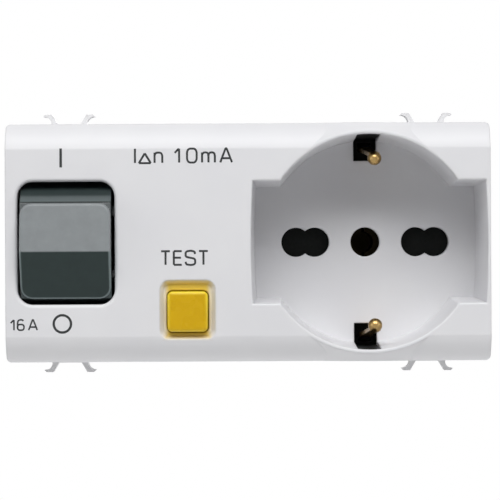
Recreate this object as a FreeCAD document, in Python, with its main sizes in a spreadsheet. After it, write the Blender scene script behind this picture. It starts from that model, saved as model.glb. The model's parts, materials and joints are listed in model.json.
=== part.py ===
import FreeCAD, Part
import math
import os
import Sketcher

# Interlocked socket: a four-module flush wall unit with a protected, plug-interlocked outlet.
# Frame: +X right, +Y back into the wall, +Z up. The origin is the centre of the unit on the
# plane where the front cover seats on its mounting frame. All sizes are in millimetres.

os.makedirs("parts", exist_ok=True)
doc = FreeCAD.newDocument("interlocked_socket")

# Driving dimensions, one spreadsheet cell each
SIZES = {
    # Front cover
    "unit_height": 43.4,
    "cover_depth": 9.5,
    "cover_wall": 1.8,
    "shoulder_rise": 4.7,
    "shoulder_drop": 3.2,
    "shoulder_bulge": 0.6,
    "corner_radius": 0.8,
    "module_pitch": 22.0,
    # Rocker window and rocker
    "window_side_margin": 2.2,
    "window_height": 22.3,
    "window_radius": 2.7,
    "window_edge": 0.6,
    "rocker_side_gap": 0.6,
    "rocker_pivot_depth": 7.5,
    "rocker_rest_angle": 8.0,
    "rocker_ridge": 11.0,
    "rocker_cap_forward": 8.7,
    "rocker_cap_upper": 8.4,
    "rocker_cap_lower": 9.0,
    "rocker_cap_corner": 2.2,
    "rocker_drum_radius": 11.5,
    "rocker_drum_back": 102.0,
    "rocker_shell": 1.6,
    "rocker_recess_radius": 7.2,
    "rocker_recess_depth": 1.6,
    "rocker_hub_radius": 3.2,
    "rocker_web": 3.0,
    "rocker_tail": 11.0,
    "rocker_edge": 0.45,
    "pin_radius": 1.1,
    "running_gap": 0.05,
    # Switch mechanism
    "frame_plate": 1.2,
    "frame_gap": 0.2,
    "frame_front": 4.0,
    "frame_back": 26.0,
    "frame_bottom": 11.0,
    "ear_radius": 5.0,
    "frame_bar": 3.6,
    "carrier_depth": 21.0,
    "carrier_height": 12.3,
    "carrier_hub_radius": 2.6,
    "carrier_crank": 9.0,
    "joint_pin_radius": 1.0,
    "link_thickness": 1.2,
    "link_half_width": 1.9,
    "link_open_gap": 0.4,
    "pole_spacing": 8.0,
    "contact_side_gap": 0.8,
    "contact_thickness": 1.0,
    "contact_drop": 8.0,
    "blade_inset": 0.3,
    "tip_radius": 1.5,
    "tip_height": 0.7,
    "contact_gap": 0.1,
    "coil_radius": 4.6,
    "coil_length": 11.0,
    "coil_drop": 6.8,
    "coil_front": 12.6,
    "plunger_radius": 1.5,
    "yoke_thickness": 1.0,
    "trip_pivot_depth": 9.0,
    "trip_pivot_height": 5.5,
    "trip_lever_length": 11.0,
    "trip_lever_width": 8.0,
    "trip_pin_radius": 0.8,
    "bimetal_drop": 1.5,
    "chute_front": 4.6,
    "chute_pitch": 1.4,
    "chute_plate": 0.6,
    "chute_top": 11.5,
    # Test button
    "button_size": 7.3,
    "button_radius": 0.9,
    "button_gap": 0.2,
    "button_proud": 0.6,
    "button_lift": 4.5,
    "button_travel": 1.8,
    "button_stem": 1.5,
    "button_flange": 1.6,
    "dish_width": 10.2,
    "dish_height": 10.9,
    "dish_lift": 0.3,
    "dish_depth": 1.1,
    "dish_taper": 35.0,
    "leaf_depth": 3.7,
    "leaf_thickness": 0.5,
    "leaf_pivot_drop": 3.0,
    "board_depth": 8.0,
    "board_thickness": 1.6,
    "resistor_radius": 1.5,
    "resistor_length": 8.8,
    "resistor_inset": 3.65,
    "capacitor_radius": 3.25,
    "capacitor_length": 7.3,
    "capacitor_pitch": 7.3,
    "capacitor_drop": 6.8,
    # Residual current parts
    "toroid_height": 10.0,
    "toroid_outer": 5.9,
    "toroid_inner": 3.2,
    "toroid_width": 6.0,
    "relay_width": 11.8,
    "relay_height": 7.3,
    "conductor_radius": 1.1,
    "conductor_pitch": 2.5,
    # Socket well
    "well_depth": 17.5,
    "rim_top_margin": 2.1,
    "rim_side_margin": 0.85,
    "rim_half_height": 11.14,
    "floor_round_step": 0.65,
    "floor_side_step": 0.7,
    "floor_half_height": 10.4,
    "side_bulge": 0.35,
    "well_tube_step": 0.6,
    "well_tube_half_height": 12.2,
    "rim_edge": 0.3,
    "floor_thickness": 2.5,
    "floor_ledge": 0.5,
    "seat_gap": 0.05,
    "pin_hole_radius": 2.75,
    "pin_offset_inner": 9.5,
    "pin_offset_outer": 13.0,
    "earth_slot_width": 4.3,
    "earth_slot_length": 4.7,
    "earth_slot_step": 0.35,
    "earth_slot_bridge": 0.9,
    # Socket contacts
    "shutter_thickness": 1.6,
    "shutter_gap": 0.2,
    "shutter_half_height": 3.1,
    "shutter_bridge_drop": 7.0,
    "spring_radius": 0.72,
    "spring_wire": 0.15,
    "spring_turns": 12.0,
    "block_half_width": 17.6,
    "block_half_height": 9.6,
    "block_depth": 15.8,
    "block_wall": 1.8,
    "block_overlap": 1.2,
    "block_foot_inset": 1.8,
    "block_foot_drop": 1.1,
    "block_foot_radius": 1.6,
    "pin_contact_gap": 4.0,
    "pin_contact_sheet": 0.6,
    "earth_tube_setback": 5.0,
    "clip_inset": 2.0,
    "clip_sheet": 0.7,
    "clip_width": 2.0,
    "clip_head_radius": 1.3,
    "clip_head_depth": 5.0,
    "clip_lean": 2.3,
    "clip_head_offset": 1.2,
    "clip_hinge_depth": 24.0,
    "clip_root_gap": 0.2,
    # Interlock
    "slider_thickness": 1.6,
    "lever_side_gap": 0.8,
    "lever_pivot_depth": 28.0,
    "lever_thickness": 1.6,
    "lever_half_arm": 1.6,
    "lever_hub_radius": 2.4,
    "lever_heel_height": 7.0,
    "lever_overhang": 0.1,
    # Terminals
    "terminal_height": 4.7,
    "terminal_screw_radius": 1.75,
    "terminal_shank_length": 3.7,
    "terminal_head_radius": 2.8,
    "terminal_head_height": 1.7,
    "terminal_head_sink": 0.5,
    "terminal_slot_half": 0.4,
    "cage_width": 6.0,
    "cage_height": 5.5,
    "cage_wall": 0.8,
    "cage_open": 3.0,
    "tongue_setback": 2.9,
    "tongue_thickness": 1.0,
    "earth_terminal_gap": 0.9,
    "wire_entry_radius": 1.6,
    # Rear housing
    "housing_side_inset": 0.4,
    "housing_top_inset": 0.8,
    "housing_wall": 1.6,
    "case_screw_inset": 2.5,
    "case_screw_gap": 0.3,
    "case_screw_radius": 1.1,
    "case_screw_head": 2.0,
    "case_screw_head_height": 1.2,
    "case_screw_bite": 5.0,
    "case_slot_half": 0.3,
    "boss_radius": 2.1,
    "tongue_pad_half_width": 3.4,
    "tongue_pad_length": 14.0,
    "tongue_pad_proud": 0.35,
    "snap_tip_proud": 2.1,
    "snap_foot_offset": 2.7,
    "snap_tip_offset": 4.75,
    "snap_foot_width": 1.2,
    "snap_sole_length": 1.6,
    "snap_toe_height": 0.35,
    "snap_bulge": 0.44,
    "snap_depth": 3.0,
}

# Counts
MODULES = 4
CHUTE_PLATES = 8
CAPACITORS = 2

sheet = doc.addObject("Spreadsheet::Sheet", "Sizes")
for row, (alias, number) in enumerate(SIZES.items(), start=1):
    sheet.set(f"A{row}", alias)
    sheet.set(f"B{row}", str(number))
    sheet.setAlias(f"B{row}", alias)
doc.recompute()


class Size:
    """A length or angle: its number now, and the spreadsheet formula that it comes from."""

    def __init__(self, number, formula):
        self.number = number
        self.formula = formula

    def __add__(self, other):
        other = as_size(other)
        return Size(self.number + other.number, f"({self.formula} + {other.formula})")

    def __sub__(self, other):
        other = as_size(other)
        return Size(self.number - other.number, f"({self.formula} - {other.formula})")

    def __mul__(self, other):
        other = as_size(other)
        return Size(self.number * other.number, f"({self.formula} * {other.formula})")

    def __truediv__(self, other):
        other = as_size(other)
        return Size(self.number / other.number, f"({self.formula} / {other.formula})")

    def __radd__(self, other):
        return as_size(other) + self

    def __rsub__(self, other):
        return as_size(other) - self

    def __rmul__(self, other):
        return as_size(other) * self

    def __neg__(self):
        return Size(-self.number, f"(0 - {self.formula})")


def as_size(value):
    if isinstance(value, Size):
        return value
    return Size(float(value), f"({float(value)!r})")


def root(value):
    return Size(math.sqrt(value.number), f"sqrt({value.formula})")


def sine(angle):
    return Size(math.sin(math.radians(angle.number)), f"sin({angle.formula} * 1 deg)")


def cosine(angle):
    return Size(math.cos(math.radians(angle.number)), f"cos({angle.formula} * 1 deg)")


def arcsine(value):
    return Size(math.degrees(math.asin(value.number)), f"(asin({value.formula}) / 1 deg)")


class Named:
    """Gives each driving dimension by its name."""


size = Named()
for alias, number in SIZES.items():
    setattr(size, alias, Size(number, f"Sizes.{alias}"))

made = []


def bind(item, path, value):
    """Ties one property of an object to the sheet."""
    item.setExpression(path, as_size(value).formula)


def box(name, x, y, z):
    """A block between two places on each axis."""
    item = doc.addObject("Part::Box", name)
    for axis, side, (low, high) in (("x", "Length", x), ("y", "Width", y), ("z", "Height", z)):
        low = as_size(low)
        high = as_size(high)
        bind(item, side, high - low)
        bind(item, f"Placement.Base.{axis}", low)
    return item


def rod(name, axis, centre, ends, radius):
    """A cylinder along one axis. Its centre gives the other two coordinates in order."""
    item = doc.addObject("Part::Cylinder", name)
    low = as_size(ends[0])
    high = as_size(ends[1])
    bind(item, "Radius", radius)
    bind(item, "Height", high - low)
    turns = {
        "x": FreeCAD.Rotation(FreeCAD.Vector(0, 1, 0), 90),
        "y": FreeCAD.Rotation(FreeCAD.Vector(1, 0, 0), -90),
        "z": FreeCAD.Rotation(),
    }
    item.Placement = FreeCAD.Placement(FreeCAD.Vector(), turns[axis])
    bind(item, f"Placement.Base.{axis}", low)
    others = [letter for letter in "xyz" if letter != axis]
    for letter, place in zip(others, centre):
        bind(item, f"Placement.Base.{letter}", place)
    return item


def fuse(name, parts):
    item = doc.addObject("Part::MultiFuse", name)
    item.Shapes = parts
    item.Refine = True
    return item


def cut(name, base, tools):
    item = doc.addObject("Part::Cut", name)
    item.Base = base
    item.Tool = tools[0] if len(tools) == 1 else fuse(f"{name}_tools", tools)
    item.Refine = True
    return item


def group(name, parts):
    """Separate solids that share one node."""
    item = doc.addObject("Part::Compound", name)
    item.Links = parts
    return item


def swing(item, depth, height, angle):
    """Turns an object about the X line through a point of the YZ plane."""
    depth = as_size(depth)
    height = as_size(height)
    item.Placement = FreeCAD.Placement(FreeCAD.Vector(), FreeCAD.Rotation(FreeCAD.Vector(1, 0, 0), 1))
    bind(item, "Placement.Base.y", depth - depth * cosine(angle) + height * sine(angle))
    bind(item, "Placement.Base.z", height - depth * sine(angle) - height * cosine(angle))
    bind(item, "Placement.Rotation.Angle", angle)
    return item


def keep(item, name):
    """Marks an object as a finished piece. Its label names its file."""
    item.Label = name
    made.append(item)
    return item


def new_body(name):
    return doc.addObject("PartDesign::Body", f"{name}_body")


def sketch_on(body, name, role, offset):
    """A sketch on one of the body's own planes, moved along its normal."""
    sketch = body.newObject("Sketcher::SketchObject", name)
    plane = [feature for feature in body.Origin.OriginFeatures if feature.Role == role][0]
    sketch.AttachmentSupport = [(plane, "")]
    sketch.MapMode = "FlatFace"
    bind(sketch, "AttachmentOffset.Base.z", offset)
    return sketch


def pin_down(sketch, geometry, point, along, value):
    """Fixes one coordinate of a sketch point from the sheet."""
    value = as_size(value)
    if abs(value.number) < 1e-9:
        axis = -2 if along == "X" else -1
        sketch.addConstraint(Sketcher.Constraint("PointOnObject", geometry, point, axis))
        return
    index = sketch.addConstraint(Sketcher.Constraint(f"Distance{along}", geometry, point, value.number))
    sketch.setExpression(f"Constraints[{index}]", value.formula)


def draw_outline(sketch, points, arcs=None):
    """A closed outline. An arc is given by its first corner: a point near its middle, and its radius."""
    arcs = arcs or {}
    count = len(points)
    start = sketch.GeometryCount
    corners = [FreeCAD.Vector(as_size(x).number, as_size(y).number, 0) for x, y in points]
    ends = {}
    for index in range(count):
        first = corners[index]
        last = corners[(index + 1) % count]
        if index in arcs:
            (middle_x, middle_y), _ = arcs[index]
            middle = FreeCAD.Vector(as_size(middle_x).number, as_size(middle_y).number, 0)
            forward = (middle - first).cross(last - middle).z > 0
            if forward:
                sketch.addGeometry(Part.Arc(first, middle, last))
            else:
                sketch.addGeometry(Part.Arc(last, middle, first))
            ends[index] = (1, 2) if forward else (2, 1)
        else:
            sketch.addGeometry(Part.LineSegment(first, last))
            ends[index] = (1, 2)
    for index in range(count):
        following = (index + 1) % count
        sketch.addConstraint(Sketcher.Constraint(
            "Coincident", start + index, ends[index][1], start + following, ends[following][0]))
    for index, (x, y) in enumerate(points):
        pin_down(sketch, start + index, ends[index][0], "X", x)
        pin_down(sketch, start + index, ends[index][0], "Y", y)
    for index, (_, radius) in arcs.items():
        number = sketch.addConstraint(Sketcher.Constraint("Radius", start + index, radius.number))
        sketch.setExpression(f"Constraints[{number}]", radius.formula)
    return sketch


def draw_circle(sketch, x, y, radius):
    x = as_size(x)
    y = as_size(y)
    radius = as_size(radius)
    centre = FreeCAD.Vector(x.number, y.number, 0)
    index = sketch.addGeometry(Part.Circle(centre, FreeCAD.Vector(0, 0, 1), radius.number))
    pin_down(sketch, index, 3, "X", x)
    pin_down(sketch, index, 3, "Y", y)
    number = sketch.addConstraint(Sketcher.Constraint("Radius", index, radius.number))
    sketch.setExpression(f"Constraints[{number}]", radius.formula)
    return sketch


def draw_rectangle(sketch, x, y):
    (left, right) = x
    (low, high) = y
    return draw_outline(sketch, [(left, low), (right, low), (right, high), (left, high)])


def draw_rounded(sketch, x, y, radius):
    """A rectangle with round corners, between two places on each sketch axis."""
    left, right = as_size(x[0]), as_size(x[1])
    low, high = as_size(y[0]), as_size(y[1])
    inset = radius * (1 - math.sqrt(0.5))
    points = [
        (left + radius, low), (right - radius, low),
        (right, low + radius), (right, high - radius),
        (right - radius, high), (left + radius, high),
        (left, high - radius), (left, low + radius),
    ]
    arcs = {
        1: ((right - inset, low + inset), radius),
        3: ((right - inset, high - inset), radius),
        5: ((left + inset, high - inset), radius),
        7: ((left + inset, low + inset), radius),
    }
    return draw_outline(sketch, points, arcs)


def pad(body, name, sketch, length, midplane=False, reverse=False, taper=None):
    item = body.newObject("PartDesign::Pad", name)
    item.Profile = sketch
    item.Midplane = midplane
    item.Reversed = reverse
    bind(item, "Length", length)
    if taper is not None:
        bind(item, "TaperAngle", taper)
    return item


def pocket(body, name, sketch, length, midplane=False, reverse=False, taper=None):
    item = body.newObject("PartDesign::Pocket", name)
    item.Profile = sketch
    item.Midplane = midplane
    item.Reversed = reverse
    bind(item, "Length", length)
    if taper is not None:
        bind(item, "TaperAngle", taper)
    return item


def loft(body, name, kind, sections):
    item = body.newObject(f"PartDesign::{kind}Loft", name)
    item.Profile = sections[0]
    item.Sections = sections[1:]
    item.Ruled = True
    return item


def round_edges(body, name, base, radius, wanted):
    """A fillet on the edges of the last feature that the given rule picks."""
    doc.recompute()
    names = []
    for index, edge in enumerate(base.Shape.Edges, start=1):
        if wanted(edge):
            names.append(f"Edge{index}")
    item = body.newObject("PartDesign::Fillet", name)
    item.Base = (base, names)
    bind(item, "Radius", radius)
    return item


def near(value, target, margin=0.01):
    return abs(value - target) < margin


def in_order(pair):
    """Two ends, the lower one first."""
    one, two = as_size(pair[0]), as_size(pair[1])
    return (one, two) if one.number <= two.number else (two, one)


# Places that several pieces share
front_y = -size.cover_depth
unit_width = size.module_pitch * MODULES
half_width = unit_width / 2
half_height = size.unit_height / 2
flat_half_height = half_height - size.shoulder_rise
rocker_x = -size.module_pitch * 1.5
button_x = -size.module_pitch / 2
well_x = size.module_pitch
rocker_y = front_y + size.rocker_pivot_depth
button_drop = flat_half_height - size.button_lift
floor_y = front_y + size.well_depth
floor_back = floor_y + size.floor_thickness
shutter_y = floor_back + size.shutter_gap
block_y = shutter_y + size.shutter_thickness + size.shutter_gap
block_back = block_y + size.block_depth
tongue_depth = block_back + size.tongue_setback
tongue_back = tongue_depth + size.tongue_thickness
terminal_head_front = tongue_back + size.terminal_shank_length

# The housing's room
housing_half_width = half_width - size.housing_side_inset
housing_half_height = half_height - size.housing_top_inset
inside_half_width = housing_half_width - size.housing_wall
inside_half_height = housing_half_height - size.housing_wall
inside_back = terminal_head_front + size.terminal_head_sink
housing_depth = inside_back + size.housing_wall

# The well and what lines it
rim_radius = half_height - size.rim_top_margin
rim_half_width = size.module_pitch - size.rim_side_margin
floor_radius = rim_radius - size.floor_round_step
floor_half_width = rim_half_width - size.floor_side_step
well_tube_radius = rim_radius + size.well_tube_step
earth_slot_outer = rim_radius + size.earth_slot_step
earth_slot_inner = earth_slot_outer - size.earth_slot_length
clip_height = rim_radius - size.clip_inset
clip_head_centre = clip_height - size.clip_lean

# The rocker's width, and what stands between and beside the plates that carry it
window_width = size.module_pitch - size.window_side_margin * 2
half_rocker = window_width / 2 - size.rocker_side_gap
plate_inner = half_rocker - size.rocker_recess_depth + size.frame_gap
plate_outer = plate_inner + size.frame_plate
frame_left = rocker_x - plate_outer
frame_right = rocker_x + plate_outer
contact_width = (plate_inner - size.contact_side_gap) * 2 - size.pole_spacing
carrier_y = size.carrier_depth
carrier_z = size.carrier_height - inside_half_height
coil_height = inside_half_height - size.coil_drop
slider_left = frame_right + size.lever_side_gap
lever_left = slider_left + size.shutter_gap
lever_right = lever_left + size.lever_thickness
case_screw_left = lever_right + size.case_screw_gap + size.boss_radius
case_screw_right = inside_half_width - size.case_screw_inset
case_screw_z = inside_half_height - size.case_screw_inset


def well_outline(sketch, radius, half_w, half_h, bulge):
    """The plug outline: a round socket crossed by a wide bar whose ends bulge a little."""
    meet = root(radius * radius - half_h * half_h)
    left = well_x - half_w
    right = well_x + half_w
    points = [
        (right, -half_h), (right, half_h),
        (well_x + meet, half_h), (well_x - meet, half_h),
        (left, half_h), (left, -half_h),
        (well_x - meet, -half_h), (well_x + meet, -half_h),
    ]
    arcs = {
        2: ((well_x, radius), radius),
        6: ((well_x, -radius), radius),
    }
    if bulge is not None:
        side_radius = (half_h * half_h + bulge * bulge) / (2 * bulge)
        arcs[0] = ((right + bulge, 0), side_radius)
        arcs[4] = ((left - bulge, 0), side_radius)
    return draw_outline(sketch, points, arcs)


# Front cover with the walls of the socket well
def make_front_cover():
    body = new_body("front_cover")
    outside = sketch_on(body, "cover_profile", "YZ_Plane", 0)
    edge_y = front_y + size.shoulder_drop
    rise = half_height - flat_half_height
    chord = root(rise * rise + size.shoulder_drop * size.shoulder_drop)
    bulge = size.shoulder_bulge
    shoulder_radius = (chord * chord / 4 + bulge * bulge) / (2 * bulge)
    middle_y = (front_y + edge_y) / 2 - bulge * rise / chord
    middle_z = (flat_half_height + half_height) / 2 + bulge * size.shoulder_drop / chord
    points = [
        (0, -half_height), (edge_y, -half_height),
        (front_y, -flat_half_height), (front_y, flat_half_height),
        (edge_y, half_height), (0, half_height),
    ]
    arcs = {
        1: ((middle_y, -middle_z), shoulder_radius),
        3: ((middle_y, middle_z), shoulder_radius),
    }
    draw_outline(outside, points, arcs)
    pad(body, "cover_block", outside, unit_width, midplane=True)

    wall = size.cover_wall
    inside = sketch_on(body, "cover_cavity_profile", "YZ_Plane", 0)
    inner_z = half_height - wall
    shoulder_y = edge_y + wall / 2
    flat_z = flat_half_height - wall / 3
    draw_outline(inside, [
        (0, -inner_z), (shoulder_y, -inner_z), (front_y + wall, -flat_z),
        (front_y + wall, flat_z), (shoulder_y, inner_z), (0, inner_z)])
    pocket(body, "cover_cavity", inside, unit_width - 2 * wall, midplane=True)

    # Collar that lifts the shoulders to the front plane around the round socket
    collar = sketch_on(body, "collar_profile", "YZ_Plane", well_x)
    collar_flat = well_tube_radius
    collar_slope = half_height + size.shoulder_drop / 2
    collar_back = front_y + size.shoulder_drop + wall
    draw_outline(collar, [
        (front_y, floor_radius - size.seat_gap), (front_y, collar_flat),
        (front_y + size.shoulder_drop, collar_slope), (collar_back, collar_slope),
        (collar_back, floor_radius - size.seat_gap)])
    ring = body.newObject("PartDesign::Revolution", "collar")
    ring.Profile = collar
    ring.ReferenceAxis = (collar, ["H_Axis"])
    ring.Angle = 360
    trim = sketch_on(body, "collar_trim_profile", "XZ_Plane", size.cover_depth)
    beyond = half_width + collar_slope
    draw_rectangle(trim, (-beyond, beyond), (-beyond, beyond))
    draw_rounded(trim, (-half_width, half_width), (-half_height, half_height), size.corner_radius)
    pocket(body, "collar_trim", trim, size.cover_depth + size.floor_thickness)

    # Well walls
    tube = sketch_on(body, "well_tube_profile", "XZ_Plane", size.cover_depth - wall)
    tube_half_width = housing_half_width - well_x
    well_outline(tube, well_tube_radius, tube_half_width, size.well_tube_half_height, None)
    pad(body, "well_tube", tube, floor_back - front_y - wall, reverse=True)
    rim = sketch_on(body, "well_rim_profile", "XZ_Plane", size.cover_depth)
    well_outline(rim, rim_radius, rim_half_width, size.rim_half_height, size.side_bulge)
    bottom = sketch_on(body, "well_floor_profile", "XZ_Plane", -floor_y)
    well_outline(bottom, floor_radius, floor_half_width, size.floor_half_height, size.side_bulge)
    loft(body, "well", "Subtractive", [rim, bottom])
    seat = sketch_on(body, "floor_seat_profile", "XZ_Plane", -floor_y)
    ledge = size.floor_ledge
    well_outline(
        seat, floor_radius + ledge, floor_half_width + ledge,
        size.floor_half_height + ledge, size.side_bulge)
    pocket(body, "floor_seat", seat, size.floor_thickness)
    slots = sketch_on(body, "earth_channel_profile", "XZ_Plane", size.cover_depth - size.earth_slot_bridge)
    slot_half = size.earth_slot_width / 2
    for side in (1, -1):
        ends = in_order((earth_slot_inner * side, earth_slot_outer * side))
        draw_rectangle(slots, (well_x - slot_half, well_x + slot_half), ends)
    pocket(body, "earth_channels", slots, floor_back - front_y)

    # Window for the rocker, dish and hole for the test button
    window = sketch_on(body, "window_profile", "XZ_Plane", size.cover_depth)
    half_window = window_width / 2
    half_window_height = size.window_height / 2
    draw_rounded(
        window, (rocker_x - half_window, rocker_x + half_window),
        (-half_window_height, half_window_height), size.window_radius)
    pocket(body, "window", window, wall)
    dish = sketch_on(body, "dish_profile", "XZ_Plane", size.cover_depth)
    dish_z = size.dish_lift - button_drop
    half_dish = size.dish_width / 2
    half_dish_height = size.dish_height / 2
    draw_rounded(
        dish, (button_x - half_dish, button_x + half_dish),
        (dish_z - half_dish_height, dish_z + half_dish_height), size.button_radius * 2)
    pocket(body, "dish", dish, size.dish_depth, taper=-size.dish_taper)
    hole = sketch_on(body, "button_hole_profile", "XZ_Plane", size.cover_depth)
    half_hole = size.button_size / 2 + size.button_gap
    hole_cut_radius = size.button_radius + size.button_gap
    draw_rounded(
        hole, (button_x - half_hole, button_x + half_hole),
        (-button_drop - half_hole, -button_drop + half_hole), hole_cut_radius)
    pocket(body, "button_hole", hole, wall)

    # Bosses that take the case screws
    bosses = sketch_on(body, "cover_boss_profile", "XZ_Plane", 0)
    for x in (case_screw_left, case_screw_right):
        for z in (-case_screw_z, case_screw_z):
            draw_circle(bosses, x, z, size.boss_radius)
    pad(body, "cover_bosses", bosses, size.cover_depth - wall)
    pilots = sketch_on(body, "cover_pilot_profile", "XZ_Plane", 0)
    for x in (case_screw_left, case_screw_right):
        for z in (-case_screw_z, case_screw_z):
            draw_circle(pilots, x, z, size.case_screw_radius + size.running_gap)
    last = pocket(body, "cover_pilots", pilots, size.case_screw_bite, reverse=True)

    # Rounded window edge and socket rim
    def is_window_edge(edge):
        box_of = edge.BoundBox
        inside_x = abs(box_of.Center.x - rocker_x.number) <= half_window.number + 0.01
        inside_z = abs(box_of.Center.z) <= half_window_height.number + 0.01
        on_front = near(box_of.YMin, front_y.number) and near(box_of.YLength, 0)
        return inside_x and inside_z and on_front and box_of.XLength < window_width.number

    window_round = round_edges(body, "window_round", last, size.window_edge, is_window_edge)

    rim_reach = (rim_half_width + size.side_bulge).number + 0.01
    rim_height = rim_radius.number + 0.01

    def is_rim_edge(edge):
        box_of = edge.BoundBox
        on_front = near(box_of.YMin, front_y.number) and near(box_of.YLength, 0)
        in_x = max(abs(box_of.XMax - well_x.number), abs(box_of.XMin - well_x.number)) <= rim_reach
        in_z = box_of.ZMax <= rim_height and box_of.ZMin >= -rim_height
        return on_front and in_x and in_z

    round_edges(body, "rim_round", window_round, size.rim_edge, is_rim_edge)
    return keep(body, "front_cover")


def make_socket_floor():
    """The floor of the well, seated on its ledge from behind, with pin holes and earth slots."""
    body = new_body("socket_floor")
    outside = sketch_on(body, "floor_profile", "XZ_Plane", -floor_y)
    grow = size.floor_ledge - size.seat_gap
    well_outline(
        outside, floor_radius + grow, floor_half_width + grow,
        size.floor_half_height + grow, size.side_bulge)
    pad(body, "floor_plate", outside, size.floor_thickness, reverse=True)
    holes = sketch_on(body, "pin_hole_profile", "XZ_Plane", -floor_y)
    radius = size.pin_hole_radius
    half_step = (size.pin_offset_outer - size.pin_offset_inner) / 2
    waist = root(radius * radius - half_step * half_step)
    middle = (size.pin_offset_outer + size.pin_offset_inner) / 2
    for side in (1, -1):
        centre = well_x + middle * side
        points = [(centre, -waist), (centre, waist)]
        arcs = {
            0: ((centre + half_step + radius, 0), radius),
            1: ((centre - half_step - radius, 0), radius),
        }
        draw_outline(holes, points, arcs)
    draw_circle(holes, well_x, 0, radius)
    pocket(body, "pin_holes", holes, size.floor_thickness)
    slots = sketch_on(body, "floor_slot_profile", "XZ_Plane", -floor_y)
    slot_half = size.earth_slot_width / 2
    beyond = floor_radius + size.floor_thickness
    draw_rectangle(slots, (well_x - slot_half, well_x + slot_half), (earth_slot_inner, beyond))
    draw_rectangle(slots, (well_x - slot_half, well_x + slot_half), (-beyond, -earth_slot_inner))
    pocket(body, "floor_slots", slots, size.floor_thickness)
    return keep(body, "socket_floor")


def make_contact_block():
    """The black insulating block behind the shutter, with a tongue that lines each earth channel."""
    left = well_x - size.block_half_width
    right = well_x + size.block_half_width
    height = size.block_half_height
    parts = [box("block_core", (left, right), (block_y, block_back), (-height, height))]
    slot_half = size.earth_slot_width / 2 - size.seat_gap
    liner_in = floor_radius + size.floor_ledge
    liner_out = earth_slot_outer - size.seat_gap
    liner_front = front_y + size.earth_slot_bridge + size.seat_gap
    flange_half = slot_half + size.cover_wall
    flange_back = block_y + size.shutter_thickness
    for side, label in ((1, "upper"), (-1, "lower")):
        parts.append(box(
            f"earth_liner_{label}", (well_x - slot_half, well_x + slot_half), (liner_front, flange_back),
            in_order((liner_in * side, liner_out * side))))
        inner = height - size.block_overlap
        parts.append(box(
            f"earth_flange_{label}", (well_x - flange_half, well_x + flange_half), (block_y, flange_back),
            in_order((inner * side, liner_out * side))))
    foot_x = size.block_half_width - size.block_foot_inset
    foot_z = height - size.block_foot_inset - size.block_foot_drop
    foot_ends = (block_back - size.block_wall, inside_back)
    for x in (well_x - foot_x, well_x + foot_x):
        for z in (-foot_z, foot_z):
            parts.append(rod("block_foot", "y", (x, z), foot_ends, size.block_foot_radius))
    block = fuse("block_solid", parts)
    tools = []
    reach = size.pin_offset_outer + size.pin_hole_radius
    near_side = size.pin_offset_inner - size.pin_hole_radius
    cavity_half = size.pin_contact_gap / 2 + size.pin_contact_sheet + size.shutter_gap
    cavity_back = block_back - size.block_wall
    gap = size.shutter_gap
    half_tab = size.tongue_thickness / 2 + gap
    for side in (1, -1):
        tools.append(box(
            "pin_cavity", in_order((well_x + near_side * side, well_x + reach * side)),
            (block_y, cavity_back), (-cavity_half, cavity_half)))
        tab_low, tab_high = in_order((well_x + tab_inner * side, well_x + tab_outer * side))
        tools.append(box(
            "tab_slot", (tab_low - gap, tab_high + gap), (block_y, inside_back), (-half_tab, half_tab)))
    earth_bore = size.pin_hole_radius + size.pin_contact_sheet + size.seat_gap
    tools.append(rod("earth_pin_cavity", "y", (well_x, 0), (block_y, inside_back), earth_bore))
    clip_half = size.clip_width / 2 + size.shutter_gap
    strip_in = clip_height - size.clip_sheet / 2 - size.shutter_gap
    strip_out = clip_height + size.clip_sheet / 2 + size.clip_sheet + size.shutter_gap
    for side in (1, -1):
        tools.append(box(
            "strip_slot", (well_x - clip_half, well_x + clip_half), (block_y, flange_back),
            in_order((strip_in * side, strip_out * side))))
    return keep(cut("contact_block", block, tools), "contact_block")


tab_inner = size.pin_offset_inner - size.tongue_thickness
tab_outer = size.pin_offset_outer
rod_y_neutral = block_back + size.running_gap * 2 + size.tongue_thickness / 2
rod_y_phase = rod_y_neutral + size.conductor_pitch
toroid_y = (rod_y_phase + rod_y_neutral) / 2
bus_left = well_x - size.block_half_width - size.tongue_thickness


def make_pin_contact(name, side, tab_back):
    """A folded spring contact: two leaves that a pin parts, a web behind them and a tab to its bar."""
    sheet_z = size.pin_contact_sheet
    half_gap = size.pin_contact_gap / 2
    reach = size.pin_offset_outer + size.pin_hole_radius - size.shutter_gap
    near_side = size.pin_offset_inner - size.pin_hole_radius + size.shutter_gap
    across = in_order((well_x + near_side * side, well_x + reach * side))
    web_back = block_back - size.block_wall
    web = (web_back - sheet_z, web_back)
    front = block_y + size.shutter_gap
    tab_x = in_order((well_x + tab_inner * side, well_x + tab_outer * side))
    half_tab = size.tongue_thickness / 2
    parts = [
        box(f"{name}_upper_leaf", across, (front, web_back), (half_gap, half_gap + sheet_z)),
        box(f"{name}_lower_leaf", across, (front, web_back), (-half_gap - sheet_z, -half_gap)),
        box(f"{name}_web", across, web, (-half_gap, half_gap)),
        box(f"{name}_tab", tab_x, (web[0], tab_back), (-half_tab, half_tab)),
    ]
    return keep(fuse(name, parts), name)


def make_busbar(name, side, middle_y):
    """A bar from the conductor behind the toroid to one pin contact."""
    half_bar = size.tongue_thickness / 2
    tab_low, tab_high = in_order((well_x + tab_inner * side, well_x + tab_outer * side))
    half_strip = size.conductor_radius
    low = size.toroid_height - half_strip
    high = size.toroid_height + half_strip
    across = (bus_left, tab_high)
    down = (-size.tongue_thickness, high)
    ys = (middle_y - half_bar, middle_y + half_bar)
    parts = [
        box(f"{name}_across", across, ys, (low, high)),
        box(f"{name}_down", (tab_low, tab_high), ys, down),
    ]
    return keep(fuse(name, parts), name)


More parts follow.
